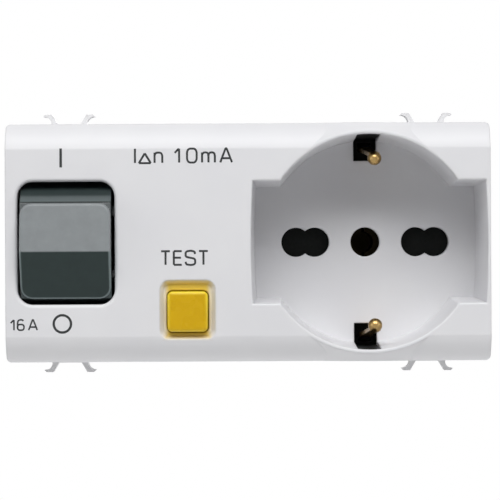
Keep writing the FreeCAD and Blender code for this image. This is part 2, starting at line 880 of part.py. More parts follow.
def make_outlet_contacts():
    half_bar = size.tongue_thickness / 2
    make_pin_contact("phase_contact", -1, rod_y_phase - half_bar)
    make_pin_contact("neutral_contact", 1, rod_y_neutral - half_bar)
    make_busbar("phase_busbar", -1, rod_y_phase)
    make_busbar("neutral_busbar", 1, rod_y_neutral)
    outer = size.pin_hole_radius + size.pin_contact_sheet
    front = block_y + size.earth_tube_setback
    tube = rod("earth_tube", "y", (well_x, 0), (front, tongue_depth), outer)
    bore = rod("earth_tube_bore", "y", (well_x, 0), (block_y, block_back), size.pin_contact_gap / 2)
    slit_half = size.pin_contact_sheet / 2
    slit = box(
        "earth_tube_slit", (well_x - slit_half, well_x + slit_half), (block_y, block_back), (-outer, outer))
    keep(cut("earth_pin_contact", tube, [bore, slit]), "earth_pin_contact")


cage_half = size.cage_width / 2
earth_terminal_x = case_screw_right - size.boss_radius - size.earth_terminal_gap - cage_half
terminal_z = size.terminal_height - inside_half_height
cage_top = terminal_z + size.cage_height / 2
tongue_half = cage_half - size.cage_wall - size.shutter_gap


def make_earth_bracket():
    """The earth strip behind the block: two arms for the side clips and the terminal tongue."""
    ys = (tongue_depth, tongue_back)
    top = clip_height + size.clip_sheet / 2
    half_strip = size.clip_width
    parts = [box("earth_strip", (well_x - half_strip, well_x + half_strip), ys, (-top, top))]
    half_clip = size.clip_width / 2
    arm_front = size.clip_hinge_depth + size.clip_root_gap
    inner = clip_height - size.clip_sheet / 2
    for side in (1, -1):
        parts.append(box(
            "earth_arm", (well_x - half_clip, well_x + half_clip), (arm_front, ys[1]),
            in_order((inner * side, top * side))))
    arm_low = cage_top + size.shutter_gap
    arm_high = arm_low + size.clip_width
    parts.append(box("earth_cross", (well_x, earth_terminal_x + tongue_half), ys, (arm_low, arm_high)))
    tongue_low = terminal_z - size.cage_height / 2
    parts.append(box(
        "earth_tongue", (earth_terminal_x - tongue_half, earth_terminal_x + tongue_half), ys,
        (tongue_low, arm_high)))
    return keep(fuse("earth_bracket", parts), "earth_bracket")


def make_earth_clip(label, side):
    """A side earth clip: a spring strip that leans into the well and ends in a domed head."""
    body = new_body(f"earth_clip_{label}")
    head_y = front_y + size.clip_head_depth
    sections = []
    stations = (
        (size.clip_hinge_depth, 0, clip_height),
        (floor_back, 0, clip_height),
        (floor_y, size.clip_head_offset / 6, clip_height - size.clip_sheet / 2),
        (head_y + size.clip_sheet, size.clip_head_offset, clip_head_centre + size.clip_sheet),
    )
    half_w = size.clip_width / 2
    half_t = size.clip_sheet / 2
    for number, (depth, shift, height) in enumerate(stations):
        section = sketch_on(body, f"clip_{label}_section_{number}", "XZ_Plane", -as_size(depth))
        centre = well_x + shift
        middle = height * side
        draw_rectangle(section, (centre - half_w, centre + half_w), (middle - half_t, middle + half_t))
        sections.append(section)
    loft(body, f"clip_{label}_strip", "Additive", sections)
    head = doc.addObject("Part::Sphere", f"clip_{label}_dome")
    bind(head, "Radius", size.clip_head_radius)
    bind(head, "Placement.Base.x", well_x + size.clip_head_offset)
    bind(head, "Placement.Base.y", head_y)
    bind(head, "Placement.Base.z", clip_head_centre * side)
    hollow = rod(
        f"clip_{label}_hollow", "y", (well_x + size.clip_head_offset, clip_head_centre * side),
        (head_y + size.clip_sheet, floor_y), size.clip_head_radius / 2)
    whole = cut(f"earth_clip_{label}", fuse(f"clip_{label}_solid", [body, head]), [hollow])
    return keep(whole, f"earth_clip_{label}")


def make_shutter():
    """A plate that covers both pin holes and slides down when two pins push its ramps together."""
    ys = (shutter_y, shutter_y + size.shutter_thickness)
    inner = size.pin_offset_inner - size.pin_hole_radius - size.shutter_gap
    outer = size.pin_offset_outer + size.pin_hole_radius + size.shutter_gap
    height = size.shutter_half_height
    bridge_low = -size.shutter_bridge_drop
    bridge_high = bridge_low + size.clip_width
    parts = []
    stem = inner + size.clip_width
    for side in (1, -1):
        blade_x = in_order((well_x + inner * side, well_x + outer * side))
        stem_x = in_order((well_x + inner * side, well_x + stem * side))
        parts.append(box("shutter_blade", blade_x, ys, (-height, height)))
        parts.append(box("shutter_stem", stem_x, ys, (bridge_low, -height)))
    parts.append(box("shutter_bridge", (slider_hook_x, well_x + stem), ys, (bridge_low, bridge_high)))
    return keep(fuse("shutter", parts), "shutter")


slider_hook_x = well_x - size.block_half_width - size.clip_width - size.shutter_gap * 2
slider_y = shutter_y + size.shutter_thickness + size.shutter_gap
spring_x = well_x - size.pin_offset_inner + size.pin_hole_radius + size.shutter_gap - size.clip_width / 2
spring_top = -size.shutter_bridge_drop
spring_bottom = -inside_half_height


def make_shutter_spring():
    """The coil that lifts the shutter, standing in the housing under the bridge."""
    wire = size.spring_wire.number
    length = spring_top.number - spring_bottom.number - 2 * wire
    helix = Part.makeHelix(length / size.spring_turns.number, length, size.spring_radius.number)
    centre = FreeCAD.Vector(size.spring_radius.number, 0, 0)
    circle = Part.Wire([Part.makeCircle(wire, centre, FreeCAD.Vector(0, 1, 0))])
    coil = doc.addObject("Part::Feature", "shutter_spring")
    coil.Shape = Part.Wire(helix.Edges).makePipeShell([circle], True, True)
    depth = (shutter_y + size.shutter_thickness / 2).number
    coil.Placement = FreeCAD.Placement(
        FreeCAD.Vector(spring_x.number, depth, spring_bottom.number + wire), FreeCAD.Rotation())
    return keep(coil, "shutter_spring")


def make_interlock():
    """The slider that follows the shutter to the breaker side, and the lever that it presses."""
    thick = size.slider_thickness
    ys = (slider_y, slider_y + thick)
    low = spring_top
    high = spring_top + size.clip_width
    hook_right = slider_hook_x + size.clip_width
    bar = box("slider_bar", (slider_left, hook_right), ys, (low, high))
    hook_y = (shutter_y, slider_y + thick)
    lip_x = (slider_hook_x - size.clip_width, slider_hook_x - size.seat_gap)
    lip = box("slider_lip", lip_x, hook_y, (low, high))
    keep(fuse("interlock_slider", [bar, lip]), "interlock_slider")

    lever_x = (lever_left, lever_right)
    half_arm = size.lever_half_arm
    top = low - size.shutter_gap
    front = slider_y - size.lever_overhang
    pivot_y = size.lever_pivot_depth
    pivot = (pivot_y, top - half_arm)
    hub = rod("lever_hub", "x", pivot, lever_x, size.lever_hub_radius)
    arm = box("lever_arm", lever_x, (front, pivot_y), (top - half_arm, top))
    heel = box(
        "lever_heel", lever_x, (pivot_y - half_arm, pivot_y + half_arm),
        (top - half_arm, top + size.lever_heel_height))
    bore = rod("lever_bore", "x", pivot, lever_x, size.joint_pin_radius + size.running_gap)
    keep(cut("interlock_lever", fuse("lever_solid", [hub, arm, heel]), [bore]), "interlock_lever")
    pin_x = (lever_x[0] - size.frame_plate - size.shutter_gap, lever_x[1] + size.lever_thickness)
    keep(rod("interlock_lever_pin", "x", pivot, pin_x, size.joint_pin_radius), "interlock_lever_pin")


def make_rocker():
    """The breaker lever: a hollow drum with a two-faced cap, a hub and a tail that drives the link."""
    body = new_body("rocker")
    profile = sketch_on(body, "rocker_profile", "YZ_Plane", 0)
    radius = size.rocker_drum_radius
    back = size.rocker_drum_back
    upper = size.rocker_cap_upper
    lower = size.rocker_cap_lower
    upper_y = -root(radius * radius - upper * upper)
    lower_y = -root(radius * radius - lower * lower)
    end_y = -radius * cosine(back)
    end_z = radius * sine(back)
    front = arcsine(lower / radius)
    half_way = (front + back) / 2
    way_y = -radius * cosine(half_way)
    way_z = radius * sine(half_way)
    cap_y = -size.rocker_cap_forward
    points = [
        (-size.rocker_ridge, 0), (cap_y, upper), (upper_y, upper), (end_y, end_z),
        (end_y, -end_z), (lower_y, -lower), (cap_y, -lower),
    ]
    draw_outline(profile, points, {2: ((way_y, way_z), radius), 4: ((way_y, -way_z), radius)})
    block = pad(body, "rocker_block", profile, half_rocker * 2, midplane=True)

    def is_ridge(edge):
        box_of = edge.BoundBox
        return near(box_of.YMin, -size.rocker_ridge.number) and near(box_of.YLength, 0)

    round_edges(body, "ridge_round", block, size.rocker_edge * 2, is_ridge)
    corners = sketch_on(body, "cap_corner_profile", "XZ_Plane", size.rocker_ridge)
    beyond = half_rocker + size.rocker_cap_corner
    draw_rectangle(corners, (-beyond, beyond), (-beyond - lower, beyond + upper))
    draw_rounded(corners, (-half_rocker, half_rocker), (-lower, upper), size.rocker_cap_corner)
    cap = pocket(body, "cap_corners", corners, size.rocker_ridge + upper_y)

    def is_cap_edge(edge):
        box_of = edge.BoundBox
        on_cap = box_of.YMax <= cap_y.number + 0.01
        is_long = edge.Length > size.rocker_edge.number * 2
        return on_cap and is_long and not near(box_of.XLength, half_rocker.number * 2)

    round_edges(body, "cap_round", cap, size.rocker_edge, is_cap_edge)
    shell = size.rocker_shell
    inner = radius - shell
    hollow_front = front + size.rocker_web
    inner_y = -inner * cosine(hollow_front)
    inner_z = inner * sine(hollow_front)
    last_y = -inner * cosine(back)
    last_z = inner * sine(back)
    mid_y = -inner * cosine(half_way)
    mid_z = inner * sine(half_way)
    web_half = size.rocker_web / 2
    side_wall = size.rocker_recess_depth + size.frame_plate
    room = half_rocker - side_wall - web_half
    for label, place in (("left", -web_half - room / 2), ("right", web_half + room / 2)):
        hollow = sketch_on(body, f"rocker_hollow_{label}", "YZ_Plane", place)
        beyond = last_y + shell
        points = [
            (shell - size.rocker_ridge + size.rocker_edge, 0), (inner_y, inner_z), (last_y, last_z),
            (beyond, last_z), (beyond, -last_z), (last_y, -last_z), (inner_y, -inner_z),
        ]
        draw_outline(hollow, points, {1: ((mid_y, mid_z), inner), 5: ((mid_y, -mid_z), inner)})
        pocket(body, f"rocker_room_{label}", hollow, room, midplane=True)
    for label, place in (("left", -half_rocker), ("right", half_rocker)):
        recess = sketch_on(body, f"rocker_recess_{label}", "YZ_Plane", place)
        draw_circle(recess, 0, 0, size.rocker_recess_radius)
        pocket(body, f"rocker_side_{label}", recess, size.rocker_recess_depth, reverse=(label == "left"))
    hub = sketch_on(body, "rocker_hub_profile", "YZ_Plane", 0)
    draw_circle(hub, 0, 0, size.rocker_hub_radius)
    pad(body, "rocker_hub", hub, (half_rocker - size.rocker_recess_depth) * 2, midplane=True)
    tail = sketch_on(body, "rocker_tail_profile", "YZ_Plane", 0)
    tail_half = size.joint_pin_radius * 2
    draw_rectangle(tail, (0, size.rocker_tail), (-tail_half, tail_half))
    pad(body, "rocker_tail", tail, size.rocker_web, midplane=True)
    tail_end = sketch_on(body, "tail_end_profile", "YZ_Plane", 0)
    draw_circle(tail_end, size.rocker_tail, 0, tail_half)
    pad(body, "rocker_tail_end", tail_end, size.rocker_web, midplane=True)
    pin = sketch_on(body, "tail_pin_profile", "YZ_Plane", web_half)
    draw_circle(pin, size.rocker_tail, 0, size.joint_pin_radius)
    pad(body, "tail_pin", pin, link_pin_length)
    bore = sketch_on(body, "rocker_bore_profile", "YZ_Plane", 0)
    draw_circle(bore, 0, 0, size.pin_radius + size.running_gap)
    pocket(body, "rocker_bore", bore, half_rocker * 2, midplane=True)
    body.Placement = FreeCAD.Placement(FreeCAD.Vector(), FreeCAD.Rotation(FreeCAD.Vector(1, 0, 0), 1))
    bind(body, "Placement.Base.x", rocker_x)
    bind(body, "Placement.Base.y", rocker_y)
    bind(body, "Placement.Rotation.Angle", size.rocker_rest_angle)
    return keep(body, "rocker")


link_side_gap = size.frame_gap
link_pin_length = size.link_thickness + link_side_gap * 2
web_right = rocker_x + size.rocker_web / 2
link_x = (web_right + link_side_gap, web_right + link_side_gap + size.link_thickness)
half_throw = arcsine(size.rocker_tail * sine(size.rocker_rest_angle) / size.carrier_crank)
trip_y = size.trip_pivot_depth
trip_z = size.trip_pivot_height
yoke_low = coil_height - size.coil_radius - size.yoke_thickness
coil_back = size.coil_front + size.coil_length


def make_mechanism_frame():
    """Two side plates with ears for the rocker pin, joined by two bars, standing under the top wall."""
    parts = []
    plate_y = (size.frame_front, size.frame_back)
    plate_z = (-size.frame_bottom, inside_half_height)
    neck_z = (-size.ear_radius, size.ear_radius)
    for side in (1, -1):
        plate_x = in_order((rocker_x + plate_inner * side, rocker_x + plate_outer * side))
        parts.append(box("frame_plate", plate_x, plate_y, plate_z))
        parts.append(rod("frame_ear", "x", (rocker_y, 0), plate_x, size.ear_radius))
        parts.append(box("frame_neck", plate_x, (rocker_y, size.frame_front), neck_z))
    bar_z = (inside_half_height - size.frame_plate, inside_half_height)
    for front in (size.coil_front, size.frame_back - size.frame_bar):
        parts.append(box("frame_bar", (frame_left, frame_right), (front, front + size.frame_bar), bar_z))
    shelf_z = (yoke_low - size.frame_plate, yoke_low)
    shelf_y = (size.coil_front + size.frame_plate, coil_back - size.frame_plate)
    parts.append(box("frame_shelf", (frame_left, frame_right), shelf_y, shelf_z))
    tools = [
        rod("rocker_pin_hole", "x", (rocker_y, 0), (frame_left, frame_right), size.pin_radius),
        rod("carrier_pin_hole", "x", (carrier_y, carrier_z), (frame_left, frame_right), size.pin_radius),
        rod("trip_pin_hole", "x", (trip_y, trip_z), (frame_left, frame_right), size.trip_pin_radius),
    ]
    keep(cut("mechanism_frame", fuse("frame_solid", parts), tools), "mechanism_frame")
    ends = (frame_left, frame_right)
    keep(rod("rocker_pin", "x", (rocker_y, 0), ends, size.pin_radius), "rocker_pin")
    keep(rod("carrier_pin", "x", (carrier_y, carrier_z), ends, size.pin_radius), "carrier_pin")
    keep(rod("trip_lever_pin", "x", (trip_y, trip_z), ends, size.trip_pin_radius), "trip_lever_pin")


def make_drive_link():
    """The link from the rocker's tail pin to the carrier's crank pin."""
    tail_y = rocker_y + size.rocker_tail * cosine(size.rocker_rest_angle)
    tail_z = size.rocker_tail * sine(size.rocker_rest_angle)
    crank_y = carrier_y - size.carrier_crank * cosine(half_throw)
    crank_z = carrier_z + size.carrier_crank * sine(half_throw)
    across = crank_y - tail_y
    down = tail_z - crank_z
    length = root(across * across + down * down)
    lean = arcsine(across / length)
    half = size.link_half_width
    pin_hole = size.joint_pin_radius + size.running_gap
    open_hole = size.joint_pin_radius + size.link_open_gap
    low_z = tail_z - length
    solid = fuse("link_solid", [
        box("link_bar", link_x, (tail_y - half, tail_y + half), (low_z, tail_z)),
        rod("link_top", "x", (tail_y, tail_z), link_x, half),
        rod("link_foot", "x", (tail_y, low_z), link_x, half),
    ])
    link = cut("link_flat", solid, [
        rod("link_tail_hole", "x", (tail_y, tail_z), link_x, pin_hole),
        rod("link_crank_hole", "x", (tail_y, low_z), link_x, open_hole),
    ])
    turned = group("drive_link", [link])
    swing(turned, tail_y, tail_z, lean)
    return keep(turned, "drive_link")


def make_carrier():
    """The insulating bar that swings both moving contacts, drawn closed and then opened to rest."""
    opened = half_throw * -2
    ends = (rocker_x - plate_inner + size.frame_gap, rocker_x + plate_inner - size.frame_gap)
    hub = rod("carrier_hub", "x", (carrier_y, carrier_z), ends, size.carrier_hub_radius)
    lug_half = size.link_half_width
    crank_end = carrier_y - size.carrier_crank
    lug_x = (rocker_x - size.rocker_web / 2, web_right)
    pin_x = (lug_x[0], link_x[1] + link_side_gap)
    lug = fuse("carrier_lug", [
        box("lug_bar", lug_x, (crank_end, carrier_y), (carrier_z - lug_half, carrier_z + lug_half)),
        rod("lug_end", "x", (crank_end, carrier_z), lug_x, lug_half),
        rod("lug_pin", "x", (crank_end, carrier_z), pin_x, size.joint_pin_radius),
    ])
    swing(lug, carrier_y, carrier_z, half_throw)
    blade_back = carrier_y - size.blade_inset
    blade_front = blade_back - size.contact_thickness
    arm_front = blade_front - size.contact_thickness * 2
    arm_low = carrier_z - size.carrier_hub_radius * 2
    blade_top = carrier_z - size.carrier_hub_radius - size.frame_gap
    blade_low = carrier_z - size.contact_drop - size.tip_radius
    parts = [hub, lug]
    blades = []
    tips = []
    half = contact_width / 2
    pole_half = half - size.frame_gap
    for label, side in (("phase", -1), ("neutral", 1)):
        pole_x = rocker_x + size.pole_spacing / 2 * side
        parts.append(box(f"carrier_arm_{label}", (pole_x - pole_half, pole_x + pole_half),
                         (arm_front, blade_front), (arm_low, carrier_z)))
        blades.append(box(f"{label}_blade", (pole_x - half, pole_x + half),
                          (blade_front, blade_back), (blade_low, blade_top)))
        tips.append(rod(f"moving_tip_{label}", "y", (pole_x, carrier_z - size.contact_drop),
                        (blade_back, blade_back + size.tip_height), size.tip_radius))
    bore = rod("carrier_bore", "x", (carrier_y, carrier_z), ends, size.pin_radius + size.running_gap)
    carrier = cut("carrier_closed", fuse("carrier_solid", parts), [bore])
    for name, members in (
            ("contact_carrier", [carrier]), ("moving_contact_phase", [blades[0]]),
            ("moving_contact_neutral", [blades[1]]), ("moving_contact_tips", tips)):
        piece = group(f"{name}_node", members)
        swing(piece, carrier_y, carrier_z, opened)
        keep(piece, name)
    return blade_back + size.tip_height


def make_fixed_contacts(face_y):
    """Fixed contacts: a plate under each tip, a bar over the terminal and a tongue through its cage."""
    half = contact_width / 2
    tip_front = face_y + size.contact_gap
    plate_front = tip_front + size.tip_height
    bar_low = cage_top + size.shutter_gap * 2
    bar_high = bar_low + size.contact_thickness
    tips = []
    for label, side in (("phase", -1), ("neutral", 1)):
        pole_x = rocker_x + size.pole_spacing / 2 * side
        xs = (pole_x - half, pole_x + half)
        tongue_x = (pole_x - tongue_half, pole_x + tongue_half)
        tongue_y = (tongue_depth, tongue_back)
        plate_y = (plate_front, plate_front + size.contact_thickness)
        parts = [
            box(f"{label}_plate", xs, plate_y, (-inside_half_height, bar_high)),
            box(f"{label}_bar", tongue_x, (plate_front, tongue_y[1]), (bar_low, bar_high)),
            box(f"{label}_tongue", tongue_x, tongue_y, (terminal_z - size.cage_height / 2, bar_high)),
        ]
        keep(fuse(f"fixed_contact_{label}", parts), f"fixed_contact_{label}")
        tips.append(rod(f"fixed_tip_{label}", "y", (pole_x, carrier_z - size.contact_drop),
                        (tip_front, plate_front), size.tip_radius))
    keep(group("fixed_contact_tips", tips), "fixed_contact_tips")


def make_arc_chute():
    """Steel splitter plates in a row under the contacts, between two fibre cheeks."""
    plates = []
    chute_end = frame_right - size.frame_plate
    chute_start = frame_left + size.frame_plate
    chute_z = (-inside_half_height, -size.chute_top)
    for number in range(CHUTE_PLATES):
        front = size.chute_front + size.chute_pitch * number
        plate_y = (front, front + size.chute_plate)
        plates.append(box("chute_plate", (chute_start, chute_end), plate_y, chute_z))
    keep(group("arc_chute_plates", plates), "arc_chute_plates")
    back = size.chute_front + size.chute_pitch * (CHUTE_PLATES - 1) + size.chute_plate
    cheeks = []
    for cheek_x in ((frame_left, chute_start), (chute_end, frame_right)):
        cheeks.append(box("chute_cheek", cheek_x, (size.chute_front, back), chute_z))
    keep(group("arc_chute_cheeks", cheeks), "arc_chute_cheeks")


def make_trip_unit():
    """Magnetic coil in its yoke, its plunger, the trip lever in front and the bimetal strip behind."""
    place = (rocker_x, coil_height)
    bore = size.plunger_radius + size.frame_gap
    winding = rod("coil_winding", "y", place, (size.coil_front, coil_back), size.coil_radius)
    core = rod("coil_bore", "y", place, (size.coil_front, coil_back), bore)
    keep(cut("magnetic_coil", winding, [core]), "magnetic_coil")
    half = size.coil_radius
    top = coil_height + size.coil_radius
    thick = size.yoke_thickness
    yoke_x = (rocker_x - half, rocker_x + half)
    yoke = fuse("yoke_solid", [
        box("yoke_front", yoke_x, (size.coil_front - thick, size.coil_front), (yoke_low, top)),
        box("yoke_back", yoke_x, (coil_back, coil_back + thick), (yoke_low, top)),
        box("yoke_base", yoke_x, (size.coil_front, coil_back), (yoke_low, yoke_low + thick)),
    ])
    yoke_bore = rod("yoke_bore", "y", place, (size.coil_front - thick, coil_back + thick), bore)
    keep(cut("coil_yoke", yoke, [yoke_bore]), "coil_yoke")
    lever_half = size.frame_plate / 2
    tip = trip_y + lever_half + size.frame_gap * 2
    plunger_back = coil_back - size.plunger_radius
    keep(rod("coil_plunger", "y", place, (tip, plunger_back), size.plunger_radius), "coil_plunger")
    half_lever = size.trip_lever_width / 2
    lever_x = (rocker_x - half_lever, rocker_x + half_lever)
    blade_y = (trip_y - lever_half, trip_y + lever_half)
    blade = box("trip_blade", lever_x, blade_y, (trip_z, trip_z + size.trip_lever_length))
    barrel = rod("trip_barrel", "x", (trip_y, trip_z), lever_x, size.trip_pin_radius * 2)
    eye = rod("trip_eye", "x", (trip_y, trip_z), lever_x, size.trip_pin_radius + size.running_gap)
    keep(cut("trip_lever", fuse("trip_solid", [blade, barrel]), [eye]), "trip_lever")
    strip_x = frame_left + size.frame_plate + size.frame_gap
    strip_y = (size.frame_back - size.frame_plate, size.frame_back)
    strip_z = (-size.bimetal_drop, inside_half_height - size.frame_plate)
    keep(box("bimetal_strip", (strip_x, strip_x + contact_width), strip_y, strip_z), "bimetal_strip")


def make_test_button():
    """The square test button: a cap through the cover, a flange behind it and a stem."""
    body = new_body("test_button")
    face_y = front_y - size.button_proud
    cap = sketch_on(body, "button_profile", "XZ_Plane", -face_y)
    half = size.button_size / 2
    centre_z = -button_drop
    draw_rounded(
        cap, (button_x - half, button_x + half), (centre_z - half, centre_z + half), size.button_radius)
    back = front_y + size.cover_wall + size.button_gap
    whole = pad(body, "button_cap", cap, back - face_y, reverse=True)

    def is_face_edge(edge):
        return near(edge.BoundBox.YMin, face_y.number) and near(edge.BoundBox.YLength, 0)

    round_edges(body, "button_edge", whole, size.button_gap * 2, is_face_edge)
    flange = sketch_on(body, "button_flange_profile", "XZ_Plane", -back)
    wide = half + size.button_gap * 2
    draw_rectangle(flange, (button_x - wide, button_x + wide), (centre_z - wide, centre_z + wide))
    pad(body, "button_flange", flange, size.button_flange, reverse=True)
    stem = sketch_on(body, "button_stem_profile", "XZ_Plane", -back)
    draw_circle(stem, button_x, centre_z, size.button_stem)
    pad(body, "button_stem", stem, size.leaf_depth - size.button_gap - back, reverse=True)
    return keep(body, "test_button")


def make_test_circuit():
    """The board with the test resistor, the spring leaf that returns the button and its contact post."""
    half = size.button_stem
    back = size.leaf_depth + size.leaf_thickness
    root_z = -size.leaf_pivot_drop
    tip_z = -button_drop - size.button_stem
    clamp_z = root_z + half
    leaf_x = (button_x - half, button_x + half)
    keep(box("test_leaf", leaf_x, (size.leaf_depth, back), (tip_z, clamp_z)), "test_leaf")
    board_front = size.board_depth
    upper = box("leaf_post", leaf_x, (back + size.running_gap, board_front), (root_z, clamp_z))
    leaf_length = root_z - tip_z
    travel = size.button_travel * leaf_length / (leaf_length - half * 2)
    lower_ends = (back + travel, board_front)
    lower = rod("contact_post", "y", (button_x, tip_z + half), lower_ends, size.joint_pin_radius)
    keep(group("test_contact_posts", [upper, lower]), "test_contact_posts")
    board_left = case_screw_left + size.boss_radius + size.frame_gap * 2
    board_right = -size.cover_wall
    board_z = inside_half_height
    board_y = (board_front, board_front + size.board_thickness)
    keep(box("circuit_board", (board_left, board_right), board_y, (-board_z, board_z)), "circuit_board")
    resistor = size.resistor_radius
    resistor_place = (board_right - size.resistor_inset, board_front - resistor)
    resistor_ends = (root_z, root_z + size.resistor_length)
    keep(rod("test_resistor", "z", resistor_place, resistor_ends, resistor), "test_resistor")
    caps = []
    cap_ends = (board_front - size.capacitor_length, board_front)
    for number in range(CAPACITORS):
        x = board_left + size.capacitor_pitch * (number + 0.5)
        place = (x, inside_half_height - size.capacitor_drop)
        caps.append(rod("board_capacitor", "y", place, cap_ends, size.capacitor_radius))
    keep(group("board_capacitors", caps), "board_capacitors")


def make_residual_unit():
    """Sensing toroid round both conductors, and the sealed trip relay below it."""
    place = (toroid_y, size.toroid_height)
    half = size.toroid_width / 2
    ends = (button_x - half, button_x + half)
    ring = rod("toroid_ring", "x", place, ends, size.toroid_outer)
    hole = rod("toroid_hole", "x", place, ends, size.toroid_inner)
    keep(cut("sensing_toroid", ring, [hole]), "sensing_toroid")
    rods = []
    for label, depth, left in (("phase", rod_y_phase, rocker_x - size.pole_spacing / 2),
                               ("neutral", rod_y_neutral, rocker_x + size.pole_spacing / 2)):
        centre = (depth, size.toroid_height)
        rods.append(rod(f"{label}_conductor", "x", centre, (left, bus_left), size.conductor_radius))
    keep(group("primary_conductors", rods), "primary_conductors")
    relay_left = case_screw_left + size.boss_radius + size.frame_gap * 2
    relay_front = slider_y + size.slider_thickness * 2
    relay_y = (relay_front, relay_front + size.relay_width)
    relay_z = (-inside_half_height, -inside_half_height + size.relay_height)
    keep(box("trip_relay", (relay_left, relay_left + size.relay_width), relay_y, relay_z), "trip_relay")


def make_terminals():
    """A rear-facing screw and a lifting cage for each of the three supply wires."""
    poles = {
        "phase": rocker_x - size.pole_spacing / 2,
        "neutral": rocker_x + size.pole_spacing / 2,
        "earth": earth_terminal_x,
    }
    half = size.cage_width / 2
    wall = size.cage_wall
    inner = half - wall
    front = tongue_depth - size.cage_open - wall
    back = tongue_back + size.shutter_gap * 2
    low = terminal_z - size.cage_height / 2
    for label, x in poles.items():
        outside = box(f"{label}_cage_outside", (x - half, x + half), (front, back + wall), (low, cage_top))
        room = box(f"{label}_cage_room", (x - inner, x + inner), (front + wall, back), (low, cage_top))
        thread = rod(f"{label}_cage_thread", "y", (x, terminal_z), (back, back + wall),
                     size.terminal_screw_radius + size.running_gap)
        keep(cut(f"terminal_cage_{label}", outside, [room, thread]), f"terminal_cage_{label}")
        shank_front = tongue_back + size.running_gap
        axle = (x, terminal_z)
        shank_ends = (shank_front, terminal_head_front)
        shank = rod(f"{label}_shank", "y", axle, shank_ends, size.terminal_screw_radius)
        head_back = terminal_head_front + size.terminal_head_height
        head_ends = (terminal_head_front, head_back)
        head = rod(f"{label}_head", "y", axle, head_ends, size.terminal_head_radius)
        thin = size.terminal_slot_half
        slot_y = (head_back - size.terminal_head_height / 2, head_back)
        wide = size.terminal_head_radius
        slots = [
            box(f"{label}_slot", (x - wide, x + wide), slot_y, (terminal_z - thin, terminal_z + thin)),
            box(f"{label}_cross", (x - thin, x + thin), slot_y,
                (terminal_z - wide / 2, terminal_z + wide / 2)),
        ]
        screw = cut(f"terminal_screw_{label}", fuse(f"{label}_screw", [shank, head]), slots)
        keep(screw, f"terminal_screw_{label}")
    return poles


def make_rear_housing(poles):
    """The housing behind the mounting frame, with snap arms, wire entries and screw bores."""
    body = new_body("rear_housing")
    outside = sketch_on(body, "housing_profile", "XZ_Plane", 0)
    draw_rounded(
        outside, (-housing_half_width, housing_half_width),
        (-housing_half_height, housing_half_height), size.corner_radius)
    pad(body, "housing_block", outside, housing_depth, reverse=True)
    inside = sketch_on(body, "housing_cavity_profile", "XZ_Plane", 0)
    draw_rectangle(
        inside, (-inside_half_width, inside_half_width), (-inside_half_height, inside_half_height))
    pocket(body, "housing_cavity", inside, inside_back)
    bosses = sketch_on(body, "housing_boss_profile", "XZ_Plane", 0)
    for x in (case_screw_left, case_screw_right):
        for z in (-case_screw_z, case_screw_z):
            draw_circle(bosses, x, z, size.boss_radius)
    pad(body, "housing_bosses", bosses, inside_back, reverse=True)
    relief = sketch_on(body, "well_relief_profile", "XZ_Plane", 0)
    clear = size.contact_gap
    well_outline(relief, well_tube_radius + clear, housing_half_width - well_x + size.housing_wall,
                 size.well_tube_half_height + clear, None)
    pocket(body, "well_relief", relief, floor_back + clear)
    liner = sketch_on(body, "liner_relief_profile", "XZ_Plane", 0)
    flange_half = size.earth_slot_width / 2 + size.cover_wall + clear
    slot_end = earth_slot_outer
    draw_rectangle(liner, (well_x - flange_half, well_x + flange_half), (-slot_end, slot_end))
    pocket(body, "liner_relief", liner, block_y + size.shutter_thickness + clear)
    holes = sketch_on(body, "rear_hole_profile", "XZ_Plane", -housing_depth)
    for x in poles.values():
        draw_circle(holes, x, terminal_z, size.terminal_head_radius + size.shutter_gap)
    pocket(body, "screw_bores", holes, size.housing_wall, reverse=True)
    screws = sketch_on(body, "case_screw_profile", "XZ_Plane", -housing_depth)
    sinks = sketch_on(body, "case_sink_profile", "XZ_Plane", -housing_depth)
    for x in (case_screw_left, case_screw_right):
        for z in (-case_screw_z, case_screw_z):
            draw_circle(screws, x, z, size.case_screw_radius + size.running_gap)
            draw_circle(sinks, x, z, size.case_screw_head + size.running_gap)
    pocket(body, "case_screw_holes", screws, housing_depth, reverse=True)
    pocket(body, "case_screw_sinks", sinks, size.case_screw_head_height, reverse=True)
    entries = sketch_on(body, "wire_entry_profile", "XY_Plane", -housing_half_height)
    entry_y = tongue_depth - size.wire_entry_radius + size.contact_gap
    for x in poles.values():
        draw_circle(entries, x, entry_y, size.wire_entry_radius)
    pocket(body, "wire_entries", entries, size.housing_wall, reverse=True)
    parts = [body]
    foot = housing_half_height
    pad_top = half_height + size.tongue_pad_proud
    tip_top = half_height + size.snap_tip_proud
    for side in (1, -1):
        for arm_x in (rocker_x, well_x + size.module_pitch / 2):
            pad_x = (arm_x - size.tongue_pad_half_width, arm_x + size.tongue_pad_half_width)
            pad_y = (size.frame_gap, size.tongue_pad_length)
            parts.append(box("snap_pad", pad_x, pad_y, in_order((foot * side, pad_top * side))))
            for lean in (1, -1):
                parts.append(make_snap_blade(arm_x, lean, side, foot, pad_top, tip_top))
    return keep(fuse("rear_housing", parts), "rear_housing")


